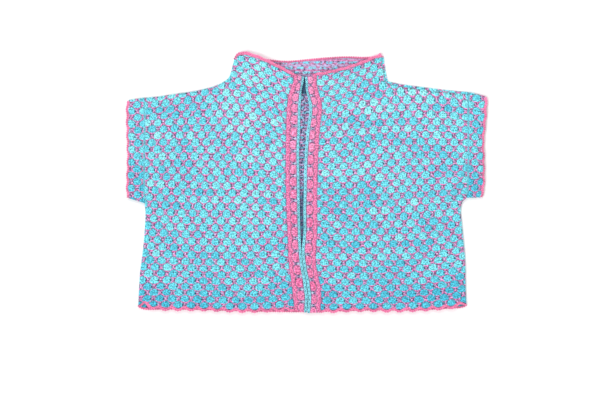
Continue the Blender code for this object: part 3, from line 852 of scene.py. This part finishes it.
def wrong_side_material(name):
    """The same knit from behind: short turquoise floats in staggered rows over pink and lilac ridges. Shadow
    in the slit is painted on: darkest where the two bands nearly meet, with more dark specks along it."""
    made = new_material(name)
    u, v = knit_fields(made)
    across, up = u * 1.09, v * 1.37
    cells = lattice(across, up, 0.0)
    floats = sum(ramp(abs(across - cu), 0.4, 0.26) * ramp(abs(up - cv), 0.38, 0.14) for cu, cv in cells)
    floats = clamped(floats)
    stripes = wave(v * (2 * math.tau)) * 0.5 + 0.5
    grain = noise(joined(u * GRAINS_ACROSS, v * GRAINS_UP), 1.4)
    patches = noise(joined(u * 4.0 + 7.0, v * 3.0), 1.2)

    ground = mixed(ramp(stripes + (patches - 0.5) * 1.6, 0.3, 0.7), WRONG_PINK, WRONG_LILAC)
    cyan = colour_ramp(yarn_shade(u, v, *cells[0]) * 0.7, CYAN_STOPS)
    colour = mixed(floats * ramp(patches, 0.34, 0.5) * 0.85, ground, cyan)
    # Painted shade: more dark specks along the slit
    slit_painted_shade = ramp(abs(u), 1.2, 0.5) * ramp(v, 17.0, 15.0)
    darkness = grain * 0.6 + patches * 0.4 - slit_painted_shade * 0.1
    colour = mixed(ramp(darkness, 0.42, 0.34), colour, WRONG_DARK)
    # Painted shadow, darkest where the slit closes up
    slit_painted_shadow = ramp(v, 12.4, 13.2) * ramp(v, 15.6, 15.0) * 0.92 + ramp(v, 0.5, -3.0) * 0.72
    colour = mixed(ramp(abs(u + 0.2), 0.7, 0.5) * slit_painted_shadow, colour, SLIT_PAINTED_SHADOW)
    tone = (patches - 0.5) * 1.2 + ramp(v, 15.5, 17.0) * 0.05 + 0.92
    return finished(made, colour, tone, floats * 0.8 + stripes * 0.4 + grain * 0.6, 0.0012)


def band_material(name):
    """Pink ridge and bubbles of a front band, with turquoise ties between the bubbles."""
    made = new_material(name)
    u, v = knit_fields(made)
    parts = band_parts(u, v)
    stitch = stitches(u * BAND_STITCHES_ACROSS, v * BAND_STITCHES_UP)
    grain = noise(joined(u * 2.6, v * 7.0), 1.25)
    own = random_at(parts["cell"], parts["cell"] * 0.5)
    pink = mixed(clamped(own * 0.45 + 0.5 - parts["cell"] * 0.03), BAND_PINK, BAND_PINK_PALE)
    net = mixed(ramp(parts["ridge"], 1.1, 0.9), NET_PINK, RIDGE_PINK)
    net = mixed(clamped(parts["tie"]) * 0.85, net, TIE_CYAN)
    colour = mixed(ramp(parts["rim"], 1.08, 0.92), net, pink)
    colour = mixed(ramp(grain, 0.58, 0.72) * 0.5, colour, SPLIT_PINK)
    # Painted shade in the groove beside the bubbles
    colour = mixed(clamped(parts["shade"]) * (1.7 - grain * 1.6), colour, GROOVE_PAINTED_SHADE)
    # Painted shade in the holes above and below each tie
    colour = mixed(clamped(parts["upper_dot"] + parts["lower_dot"]) * 0.9, colour, HOLE_PAINTED_SHADE)
    # The stitch term darkens the grooves between stitches: painted shade
    tone = (stitch - 0.45) * 0.25 + (grain - 0.5) * 1.9 + 0.9
    return finished(made, colour, tone, stitch * 0.7 + grain * 0.8, 0.0009)


def yarn_material(name, colour):
    """Plied yarn of one colour, a little uneven."""
    made = new_material(name)
    place = add_node(made.node_tree, "ShaderNodeTexCoord", {}, "Object")
    tone = (noise(place, 160.0, 2.0) - 0.5) * 0.7 + (noise(place, 28.0) - 0.5) * 0.35 + 0.89
    return finished(made, colour, tone, noise(place, 900.0, 2.0), 0.0004)


# ---------------- relief


def crown(rim, fullness, bluntness):
    """1 at the middle of a raised part, and 0 from its rim outwards."""
    return np.clip(1 - rim**fullness, 0, 1) ** bluntness


def honeycomb_height(columns, rows, phase):
    """Height of the honeycomb over the plain wall, in mm."""
    parts = honeycomb(columns, rows + phase)
    outside = parts["rim"] > 1
    dome = BUBBLE_RISE * crown(parts["rim"], 2.6, 0.62)
    holes = HOLE_DROP * np.clip(parts["left_hole"] + parts["right_hole"], 0, 1) * outside
    knots = KNOT_RISE * (parts["knot"] + parts["purl"]) * outside
    stitch = STITCH_RISE * stitches(columns * STITCHES_ACROSS, (rows + phase) * STITCHES_UP)
    return np.maximum(dome, ARC_RISE * parts["arc"]) + knots - holes + stitch


def band_height(u, v):
    """Height of a front band over its plain wall. u runs 0 to 1 over the ridge and 1 to 2 over the
    bubbles, v counts bubbles."""
    parts = band_parts(u, v)
    dome = BAND_BUBBLE_RISE * crown(parts["rim"], 2.6, 0.6)
    ridge = RIDGE_RISE * crown(parts["ridge"], 2, 0.7)
    low = BAND_DROP * (parts["rim"] > 1) * (u > 1.0)
    stitch = STITCH_RISE * stitches(u * BAND_STITCHES_ACROSS, v * BAND_STITCHES_UP)
    return np.maximum(dome, ridge) - low + stitch


def knitted_over(node, table, spacing=1.0):
    """A solid's smooth outline, and the knit grid's points within it with their knit coordinates."""
    loop = smooth_outline(outline(node), EDGE_STEP * QUICK_FACTOR)
    columns, rows = knit_of(table, loop)
    step = QUICK_FACTOR * spacing
    u = np.arange(math.floor(columns.min()), math.ceil(columns.max()), step / COLUMN_PARTS)
    v = np.arange(math.floor(rows.min()), math.ceil(rows.max()), step / ROW_PARTS)
    u, v = (axis.ravel() for axis in np.meshgrid(u, v))
    places = knit_places(table, u, v)
    kept = inside(places, loop)
    places, u, v = places[kept], u[kept], v[kept]
    away, _ = nearest_on(places, loop)
    kept = away > EDGE_STEP * QUICK_FACTOR * 0.55
    return loop, places[kept], u[kept], v[kept]


def fold_profile(away, rim):
    """Height of the plain wall at a distance from an edge whose upright part is rim high."""
    share = np.clip(1 - away / FOLD_ROUND, 0, 1)
    return rim + (CLOTH - rim) * np.sqrt(1 - share**2)


def creased(creases, points):
    """Height that soft creases add at places in the plane."""
    height = np.zeros(len(points))
    for ax, ay, bx, by, rise, half_width in creases:
        start, run = np.array([ax, ay]), np.array([bx - ax, by - ay])
        share = np.clip((points[:, :2] - start) @ run / (run @ run), 0, 1)
        away = np.linalg.norm(points[:, :2] - start - share[:, None] * run, axis=1)
        height = np.maximum(height, rise * np.exp(-((away / half_width) ** 2)))
    return height


def lifter(side):
    """How far a front stands off the back: in its creases, and at the collar's free edge, not its fold."""
    creases = RIGHT_CREASES if side == "right" else LEFT_CREASES
    inner, _ = two_sides(outline(f"{side}_collar_edge"))
    edge = smooth_run(inner, EDGE_STEP)
    fold_x = inner[np.argmax(np.abs(inner[:, 0])), 0]

    def lift(points):
        away, _ = nearest_on(points, edge)
        near = np.clip(1 - away / COLLAR_LIFT_REACH, 0, 1)
        from_fold = np.clip(np.abs(points[:, 0] - fold_x) / COLLAR_LIFT_REACH, 0, 1)
        collar = COLLAR_LIFT * near**2 * (3 - 2 * near) * from_fold**2 * (3 - 2 * from_fold)
        return collar + creased(creases, points)

    return lift


# ---------------- cloth


def face_values(made):
    """The centre in mm, the normal and the material slot of each face."""
    faces = made.data.polygons
    centres = np.array([face.center for face in faces]) / MM
    normals = np.array([face.normal for face in faces])
    return centres, normals, np.array([face.material_index for face in faces])


def paint_fold_shade(made, loop, slot):
    """Gives a slot's material to right-side faces of a fold's rim that turn towards the collar. That
    material is a darker copy of the honeycomb: painted shade.
    """
    centres, normals, slots = face_values(made)
    away, _ = nearest_on(centres, loop)
    turned = (away < FOLD_ROUND * 0.8) & (normals[:, 1] > FOLD_FACING) & (slots == 0)
    made.data.polygons.foreach_set("material_index", np.where(turned, slot, slots).astype(np.int32))


def front(side, table, phase, lift):
    """One front, from its solid's outline: honeycomb outside, wrong side of the knit inside."""
    node = f"{side}_front"
    loop, places, u, v = knitted_over(node, table)
    away, nearest = nearest_on(places, loop)
    rim_height = np.clip(loop[:, 3] - loop[:, 2], FOLD_RIM, CLOTH)
    fold = rim_height[nearest]
    ease = np.clip(away / np.where(fold < CLOTH - 0.5, FOLD_ROUND, SEAM_EASE), 0, 1)
    rim_u, rim_v = knit_of(table, loop)
    if side == "right":
        u, rim_u = -u, -rim_u
    height = fold_profile(away, fold) + honeycomb_height(u, v, phase) * ease**0.8
    base = FRONT_FLOOR + lift(places)
    rim_base = FRONT_FLOOR + lift(loop)
    knit = np.column_stack([u, v + phase])
    coarse = np.arange(len(places))[:: int(INSIDE_SPARSE / QUICK_FACTOR)]
    made = sheet(
        f"{side}-front-knit",
        loop,
        (rim_base + rim_height, rim_base),
        np.column_stack([places, base + height]),
        np.column_stack([places, base])[coarse],
        (np.column_stack([rim_u, rim_v + phase]), knit, knit[coarse]),
        (knit_right, knit_wrong, knit_painted_fold_shade),
    )
    paint_fold_shade(made, loop, 2)
    return in_place_of(node, made)


def back():
    """The back: wrong side of the knit above, pressed honeycomb underneath. Along its folds the right
    side turns up over the edge."""
    loop, places, u, v = knitted_over("back", BACK_KNIT, BACK_SPACING)
    away, nearest = nearest_on(places, loop)
    fall = fold_profile(away, CLOTH - loop[nearest, 2])
    crowns = BUBBLE_RISE - np.clip(honeycomb_height(u, v, BACK_PHASE), 0, BUBBLE_RISE)
    ease = np.clip(away / FOLD_ROUND, 0, 1)
    knit = np.column_stack([u, v])
    beside_fold = away < BACK_TURN + 2 * EDGE_STEP
    thinned = np.arange(len(places)) % int(BACK_SPARSE / QUICK_FACTOR) == 0
    coarse = np.nonzero(beside_fold | thinned)[0]
    made = sheet(
        "back-knit",
        loop,
        (loop[:, 3], loop[:, 2]),
        np.column_stack([places[coarse], np.full(len(coarse), CLOTH)]),
        np.column_stack([places, CLOTH - fall + PRESSED * crowns * ease]),
        (np.column_stack(knit_of(BACK_KNIT, loop)), knit[coarse], knit),
        (knit_wrong, knit_right, knit_painted_fold_shade),
    )
    neck_low, neck_high = (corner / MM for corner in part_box("back_collar_edge"))
    centres, normals, slots = face_values(made)
    away, nearest = nearest_on(centres, loop)
    collar_rim = (loop[:, 1] > neck_low[1] - 4) & (np.abs(loop[:, 0]) < neck_high[0] - 6)
    turned = (away < BACK_TURN) & ~collar_rim[nearest]
    # The right side shows on the back's turned rim; its faces that turn towards the collar get painted shade
    slots = np.where(turned, np.where(normals[:, 1] > FOLD_FACING, 2, 1), slots)
    made.data.polygons.foreach_set("material_index", slots.astype(np.int32))
    return in_place_of("back", made)


def long_sides(node):
    """The long sides of a strip's outline, both upwards, the one nearer the garment's middle first."""
    lines = sorted(two_sides(outline(node)), key=lambda line: abs(line[:, 0].mean()))
    return [line[::-1] if line[0, 1] > line[-1, 1] else line for line in lines]


def band(side, lift):
    """A front band as a closed grid: rows down the band, upper face, then lower face."""
    node = f"{side}_band"
    chain, outer = (smooth_run(line[::-1], BAND_STEP) for line in long_sides(node))
    shares = np.linspace(0, 1, int(length_along(outer)[-1] / (BAND_STEP * QUICK_FACTOR)))
    chain, outer = resampled(chain, shares), resampled(outer, shares)
    across = np.linspace(0, 1, int(BAND_WIDTH / (BAND_STEP * QUICK_FACTOR)))
    grid = outer[:, None, :2] * (1 - across[:, None]) + chain[:, None, :2] * across[:, None]
    width = np.linalg.norm(chain[:, :2] - outer[:, :2], axis=1)[:, None]
    walked = across * width
    past_ridge = (walked - RIDGE_WIDTH) / (width - RIDGE_WIDTH)
    u = np.where(walked < RIDGE_WIDTH, walked / RIDGE_WIDTH, 1 + past_ridge)
    bubbles, right_y, left_y = np.array(BAND_BUBBLES, float).T
    v = np.interp(-grid[..., 1], -(right_y if side == "right" else left_y), bubbles)
    places = grid.reshape(-1, 2)
    from_seam = np.minimum(walked, width - walked)
    down = length_along(outer)
    from_end = np.minimum(down, down[-1] - down)[:, None]
    ease = np.clip(np.minimum(from_seam, from_end) / BAND_EASE, 0, 1)
    base = FRONT_FLOOR + lift(places)
    top = base + CLOTH - 0.5 * (1 - ease.ravel()) + (band_height(u, v) * ease).ravel()
    points = np.vstack([np.column_stack([places, top]), np.column_stack([places, base])])
    knit = np.vstack([np.column_stack([u.ravel(), v.ravel()])] * 2)

    upwards = chain[0, 0] > outer[0, 0]
    faces = []
    for start, as_held in ((0, upwards), (u.size, not upwards)):
        for a, b, c, d in grid_faces(*u.shape, start):
            faces.append([a, d, c, b] if as_held else [b, c, d, a])
    faces += rim_faces(*u.shape)
    made = make_object(f"{side}-band-knit", points, faces, knit, [band_knit])
    return in_place_of(node, made)


def cuff_lines(side, bubble_y):
    """A sleeve's seam, the line where its cloth meets the edging, and the edging's outer line. The last
    two wave round the outer column of bubbles."""
    seam, rim = long_sides(f"{side}_cuff")
    _, outer = long_sides(f"{side}_cuff_edge")
    shares = np.linspace(0, 1, int(length_along(rim)[-1] / EDGE_STEP))
    rim, outer = (resampled(smooth_run(line, EDGE_STEP), shares) for line in (rim, outer))
    bulge = np.cos(math.pi * (outer[:, 1] - bubble_y - CUFF_ROW) / CUFF_ROW) * (1 if side == "left" else -1)
    bulge *= np.clip(np.minimum(shares, 1 - shares) / CUFF_BULGE_FADE, 0, 1)
    meet = rim + (outer - rim) * CUFF_REACH
    meet[:, 0] += CUFF_BULGE * bulge
    outer[:, 0] += CUFF_EDGE_BULGE * bulge
    return seam, meet, outer


def cuff(side, bubble_y, lift):
    """A short sleeve pressed flat: one ring of cloth, open at the edging. Its grid runs round the sleeve,
    ring by ring from the seam to the edging, then back inside the opening."""
    node = f"{side}_cuff"
    seam, rim, _ = cuff_lines(side, bubble_y)
    length = length_along(seam)[-1]
    folds = np.array(CUFF_FOLD_STEPS) / length
    middle = np.linspace(0, 1, int(length / (EDGE_STEP * QUICK_FACTOR)))
    middle = middle[(middle > CUFF_FOLD_END / length) & (middle < 1 - CUFF_FOLD_END / length)]
    up = np.concatenate([folds, middle, 1 - folds[::-1]])
    around = np.concatenate([up, up[::-1]])
    lower = np.arange(len(around)) >= len(up)
    from_fold = np.minimum(around, 1 - around) * length
    wall = fold_profile(from_fold, FOLD_RIM)
    a, b = resampled(seam, around)[:, :2], resampled(rim, around)[:, :2]
    width = np.linalg.norm(b - a, axis=1)
    rings, knit = [], []
    for share in np.linspace(0, 1, int(CUFF_SHARE_STEPS / QUICK_FACTOR)):
        place = a * (1 - share) + b * share
        u = np.full(len(around), 0.5 + (share - CUFF_INNER_SHARE) * CUFF_COLUMNS)
        if side == "right":
            u = -u
        v = 1 + (place[:, 1] - bubble_y) / CUFF_ROW
        from_seam = np.minimum(share, 1 - share) * width
        ease = np.clip(from_fold / FOLD_ROUND, 0, 1) * np.clip(from_seam / SEAM_EASE, 0, 1)
        relief = honeycomb_height(u, v, 0) * ease
        top = FRONT_FLOOR + lift(place) + wall + relief
        crowns = PRESSED * np.clip(BUBBLE_RISE - relief, 0, BUBBLE_RISE) * ease
        rings.append(np.column_stack([place, np.where(lower, CLOTH - wall + crowns, top)]))
        knit.append(np.column_stack([u, v]))
    narrowed = 0.5 + (around - 0.5) * SLOT_SHARE
    for line, near in ((rim, knit[-1]), (seam, knit[0])):
        place = resampled(line, narrowed)[:, :2]
        rings.append(np.column_stack([place, np.where(lower, CLOTH, FRONT_FLOOR + lift(place))]))
        knit.append(near)
    faces = grid_faces(len(rings), len(around), wrap_rows=True, wrap_columns=True)
    if side == "left":
        faces = [face[::-1] for face in faces]
    made = make_object(
        f"{side}-cuff-knit", np.vstack(rings), faces, np.vstack(knit), [knit_right, knit_painted_fold_shade]
    )
    paint_fold_shade(made, outline(node), 1)
    return in_place_of(node, made)


# ---------------- yarn


def leftwards(along):
    return np.column_stack([-along[:, 1], along[:, 0]])


def cord(middle, half_width, low, high, sides=10):
    """A flattened cord along a line, from a low to a high level at each point, as a list of one strand. It
    takes the second slot: a darker copy of its yarn, painted shade between the loops.
    """
    count = len(middle)
    half_width, low, high = (np.broadcast_to(value, count) for value in (half_width, low, high))
    left = leftwards(unit(np.gradient(middle[:, :2], axis=0)))
    rings = []
    for angle in math.tau * np.arange(sides) / sides:
        place = middle[:, :2] + left * (half_width * math.cos(angle))[:, None]
        level = (low + high) / 2 + (high - low) / 2 * math.sin(angle)
        rings.append(np.column_stack([place, level]))
    faces = grid_faces(sides, count, wrap_rows=True)
    faces.append([j * count for j in range(sides)])
    faces.append([j * count + count - 1 for j in range(sides)][::-1])
    return [(np.vstack(rings), faces, (0.0, 0.0), 1)]


def chain(middle, half_width, high, pitch, radius, eyes=False):
    """Pairs of yarn loops along a line, leaning together like the legs of a V, as strands. An open eye may
    show at every other pair, to one side and the other in turn, as a small dark shape of painted shade."""
    count = max(2, int(round(length_along(middle)[-1] / pitch)))
    shares = (np.arange(count) + 0.5) / count
    half_width, high = (np.broadcast_to(value, len(middle)) for value in (half_width, high))
    values = np.column_stack([middle[:, :2], half_width, high])
    at = resampled(values, shares)
    ahead, behind = (resampled(values, np.clip(shares + step, 0, 1))[:, :2] for step in (0.002, -0.002))
    along = unit(ahead - behind)
    left = leftwards(along)
    strands = []
    for i in range(count):
        place, half, level = at[i, :2], at[i, 2], at[i, 3]
        for hand in (-1, 1):
            centre = np.append(place + left[i] * hand * half * LOOP_ASIDE, level - radius * 0.55)
            lean = along[i] - left[i] * hand * LOOP_LEAN
            loop = ellipsoid(centre, lean / np.linalg.norm(lean), (pitch * 0.72, half * 0.52, radius))
            strands.append((*loop, (i + 0.5, 0.25 * hand), 0))
        if eyes and i % 2 == 0:
            aside = EYE_ASIDE if i % 4 else -EYE_ASIDE
            centre = np.append(place + left[i] * half * aside, level + radius * 0.25)
            eye = ellipsoid(centre, along[i], (pitch * 0.4, half * 0.4, radius * 0.4), (6, 4))
            strands.append((*eye, (i + 0.5, 0.0), 1))
    return strands


def yarn_object(name, strands, materials, node):
    """One mesh of many strands. Each has its points, its faces, a place in the knit and a material slot."""
    points, faces, knit, slots = [], [], [], []
    count = 0
    for its_points, its_faces, place, slot in strands:
        points.append(its_points)
        faces += [[i + count for i in face] for face in its_faces]
        knit.append(np.tile(place, (len(its_points), 1)))
        slots += [slot] * len(its_faces)
        count += len(its_points)
    made = make_object(name, np.vstack(points), faces, np.vstack(knit), materials, slots)
    return in_place_of(node, made)


def levels(node):
    return (corner[2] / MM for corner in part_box(node))


def strip_between(a, b):
    """The middle line and half width of a strip, from its long sides."""
    return (a + b) / 2, np.linalg.norm(a[:, :2] - b[:, :2], axis=1) / 2


def edging(node, lift, materials, pitch, radius, width=CORD_WIDE, eyes=False, shape=None):
    """A rolled or chained edging in the place of its solid. shape moves its middle line and width."""
    a, b = (smooth_run(line, EDGE_STEP) for line in two_sides(outline(node)))
    shares = np.linspace(0, 1, max(len(a), len(b)))
    middle, half_width = strip_between(resampled(a, shares), resampled(b, shares))
    if shape:
        middle, half_width = shape(middle, half_width)
    low, high = levels(node)
    if lift:
        low = low + lift(middle)
        high = low + EDGE_ROLL
    strands = cord(middle, half_width * width, low, high - radius * 0.7)
    strands += chain(middle, half_width * width, high, pitch, radius, eyes)
    return yarn_object(node.replace("_", "-") + "-yarn", strands, materials, node)


def pink_edging(node, lift, radius, shape=None):
    return edging(node, lift, pink_yarns, PINK_PITCH, radius, shape=shape)


def scallops(table):
    """Reshapes a hem edging so that it hangs round each bubble and rises between them."""

    def shape(middle, half_width):
        columns, _ = knit_of(table, middle)
        between = (0.5 - 0.5 * np.cos(math.tau * columns)) ** 1.5
        moved = middle.copy()
        moved[:, 1] += SCALLOP_RISE * between - SCALLOP_DROP * (1 - between)
        return moved, half_width * 0.9

    return shape


def collar_ripple(table, tip_rise):
    """Reshapes a collar edging: it ripples with the columns, and its end at the fold may stand up in a
    small point."""

    def shape(middle, half_width):
        columns, _ = knit_of(table, middle)
        ripple = 0.5 * np.cos(math.tau * columns)
        from_fold = np.hypot(*(middle[:, :2] - middle[np.argmax(np.abs(middle[:, 0])), :2]).T)
        tip = tip_rise * np.clip(1 - from_fold / TIP_REACH, 0, 1) ** 2
        moved = middle.copy()
        moved[:, 1] += tip / 2 + RIPPLE * ripple
        return moved, half_width * COLLAR_EDGE_WIDE + tip / 2

    return shape


def pinched_strip(middle, half_width):
    """Reshapes a strip along the slit: it narrows, away from the slit, where the two nearly touch."""
    near = PINCH * np.exp(-(((middle[:, 1] - PINCH_Y) / PINCH_REACH) ** 2))
    moved = middle.copy()
    moved[:, 0] += np.sign(middle[:, 0] - SLIT_X) * half_width * near
    return moved, half_width * (1 - near)


def cuff_edging(side, bubble_y):
    """The edging round a flattened sleeve: a chain and a cord above, and a cord below."""
    node = f"{side}_cuff_edge"
    _, inner, outer = cuff_lines(side, bubble_y)
    middle, half_width = strip_between(inner, outer)
    low, high = levels(node)
    strands = cord(middle, half_width * CORD_WIDE, FRONT_FLOOR, high - 0.5)
    strands += cord(middle, half_width * CORD_WIDE, low, CLOTH)
    strands += chain(middle, half_width, high, CUFF_EDGE_PITCH, CUFF_EDGE_LOOP)
    return yarn_object(f"{side}-cuff-edge-yarn", strands, pink_yarns, node)


def armhole_seam(side, lift):
    """Stitches that join a sleeve to its front, along the upper side of the armhole."""
    seam, _ = long_sides(f"{side}_cuff")
    middle = smooth_run(seam, EDGE_STEP)
    along = length_along(middle)
    middle = middle[(along > SEAM_END) & (along < along[-1] - SEAM_END)]
    top = FRONT_FLOOR + lift(middle) + CLOTH + SEAM_RISE
    strands = cord(middle, 0.9, top - 1.5, top - 0.6, sides=6)
    strands += chain(middle, 1.9, top, SEAM_PITCH, SEAM_LOOP, eyes=True)
    return yarn_object(f"{side}-armhole-seam", strands, seam_yarns, None)


# ---------------- the garment


def declare_sheet(node, pieces=(), layers=1):
    """Works out the cloth's cut area from its solid's outline, and keeps nothing."""
    loop = outline(node)
    x, y = loop[:, 0], loop[:, 1]
    width, length = np.ptp(x) * MM, np.ptp(y) * MM
    area = 0.5 * abs(x @ np.roll(y, -1) - y @ np.roll(x, -1)) * MM * MM
    min(area * layers, width * length * layers)


knit_right = honeycomb_material("honeycomb")
# A darker copy of the honeycomb: painted shade on fold rims that turn towards the collar
knit_painted_fold_shade = honeycomb_material("honeycomb-painted-fold-shade", FOLD_PAINTED_DIMMING)
knit_wrong = wrong_side_material("honeycomb-wrong-side")
band_knit = band_material("band-knit")
# The second material of each yarn is a darker copy of it: painted shade
pink_yarns = [yarn_material("pink-yarn", EDGE_PINK), yarn_material("pink-yarn-painted-shade", EDGE_PINK_PAINTED_SHADE)]
chain_yarns = [yarn_material("turquoise-yarn", CHAIN_CYAN), yarn_material("turquoise-yarn-painted-shade", CHAIN_PAINTED_SHADE)]
seam_yarns = [yarn_material("seam-yarn", SEAM_CYAN), yarn_material("seam-yarn-painted-shade", SEAM_PAINTED_SHADE)]

back_knit = back()
back_edges = [pink_edging(f"back_{place}_edge", None, BACK_LOOP) for place in ("hem", "collar")]
declare_sheet("back", back_edges)

for side, table, phase, bubble_y, tip_rise in (
    ("right", RIGHT_KNIT, RIGHT_PHASE, RIGHT_CUFF_BUBBLE_Y, 0.0),
    ("left", LEFT_KNIT, LEFT_PHASE, LEFT_CUFF_BUBBLE_Y, TIP_RISE),
):
    lift = lifter(side)
    front_knit = front(side, table, phase, lift)
    front_edges = [
        pink_edging(f"{side}_collar_edge", lift, FRONT_LOOP, collar_ripple(table, tip_rise)),
        pink_edging(f"{side}_front_hem_edge", None, FRONT_LOOP, scallops(table)),
    ]
    declare_sheet(f"{side}_front", front_edges)
    band_piece = band(side, lift)
    chain_edge = edging(
        f"{side}_band_edge",
        lift,
        chain_yarns,
        CHAIN_PITCH,
        CHAIN_LOOP,
        CHAIN_WIDE,
        eyes=True,
        shape=pinched_strip,
    )
    declare_sheet(f"{side}_band", [chain_edge])
    cuff_knit = cuff(side, bubble_y, lift)
    declare_sheet(f"{side}_cuff", [cuff_edging(side, bubble_y)], layers=2)
    armhole_seam(side, lift)

# ---------------- floor, light, camera

PIXEL = 1.9  # mm of cloth in one pixel of the frame
FRAME_WIDTH = 600
VIEW_CENTRE = (-12.35, -33.25)  # mm, under the middle of the frame

# Metres from here on
CAMERA_HEIGHT = 5.7
CLOTH_TOP = 0.006
FLOOR_SIZE = 8
FLOOR_LEVEL = -0.0003
FLOOR_WHITE = (0.94, 0.94, 0.94, 1)
SKY = 0.76
SUN = 1.25
SUN_AIM = (0.55, 0.55, -1.1)
SUN_SPREAD = math.radians(32)
TOP_LIGHT = 28.0
TOP_LIGHT_SIZE = 1.6
TOP_LIGHT_PLACE = Vector((-0.3, 2.2, 2.0))
TOP_LIGHT_TARGET = Vector((0, 0.2, 0))


def floor():
    made = new_material("floor", 0.95, sheen=0.0)
    made.node_tree.nodes["Principled BSDF"].inputs["Base Color"].default_value = FLOOR_WHITE
    bpy.ops.mesh.primitive_plane_add(size=FLOOR_SIZE, location=(0, 0, FLOOR_LEVEL))
    plane = bpy.context.object
    plane.name = "floor"
    plane.data.materials.append(made)


def aimed(made, direction):
    made.rotation_euler = direction.to_track_quat("-Z", "Y").to_euler()


def lights():
    world = bpy.data.worlds.new("studio")
    bpy.context.scene.world = world
    world.use_nodes = True
    background = world.node_tree.nodes["Background"]
    background.inputs["Color"].default_value = (1, 1, 1, 1)
    background.inputs["Strength"].default_value = SKY
    sun = bpy.data.lights.new("key", "SUN")
    sun.energy = SUN
    sun.angle = SUN_SPREAD
    aimed(add_object("key", sun), Vector(SUN_AIM))
    wide = bpy.data.lights.new("top-light", "AREA")
    wide.shape = "DISK"
    wide.size = TOP_LIGHT_SIZE
    wide.energy = TOP_LIGHT
    top_light = add_object("top-light", wide)
    top_light.location = TOP_LIGHT_PLACE
    aimed(top_light, TOP_LIGHT_TARGET - TOP_LIGHT_PLACE)


def camera():
    data = bpy.data.cameras.new("camera")
    data.lens = data.sensor_width * (CAMERA_HEIGHT - CLOTH_TOP) / (FRAME_WIDTH * PIXEL * MM)
    data.clip_end = 50
    made = add_object("camera", data)
    made.location = (VIEW_CENTRE[0] * MM, VIEW_CENTRE[1] * MM, CAMERA_HEIGHT)
    bpy.context.scene.camera = made


floor()
lights()
camera()
bpy.context.scene.view_settings.view_transform = "Standard"
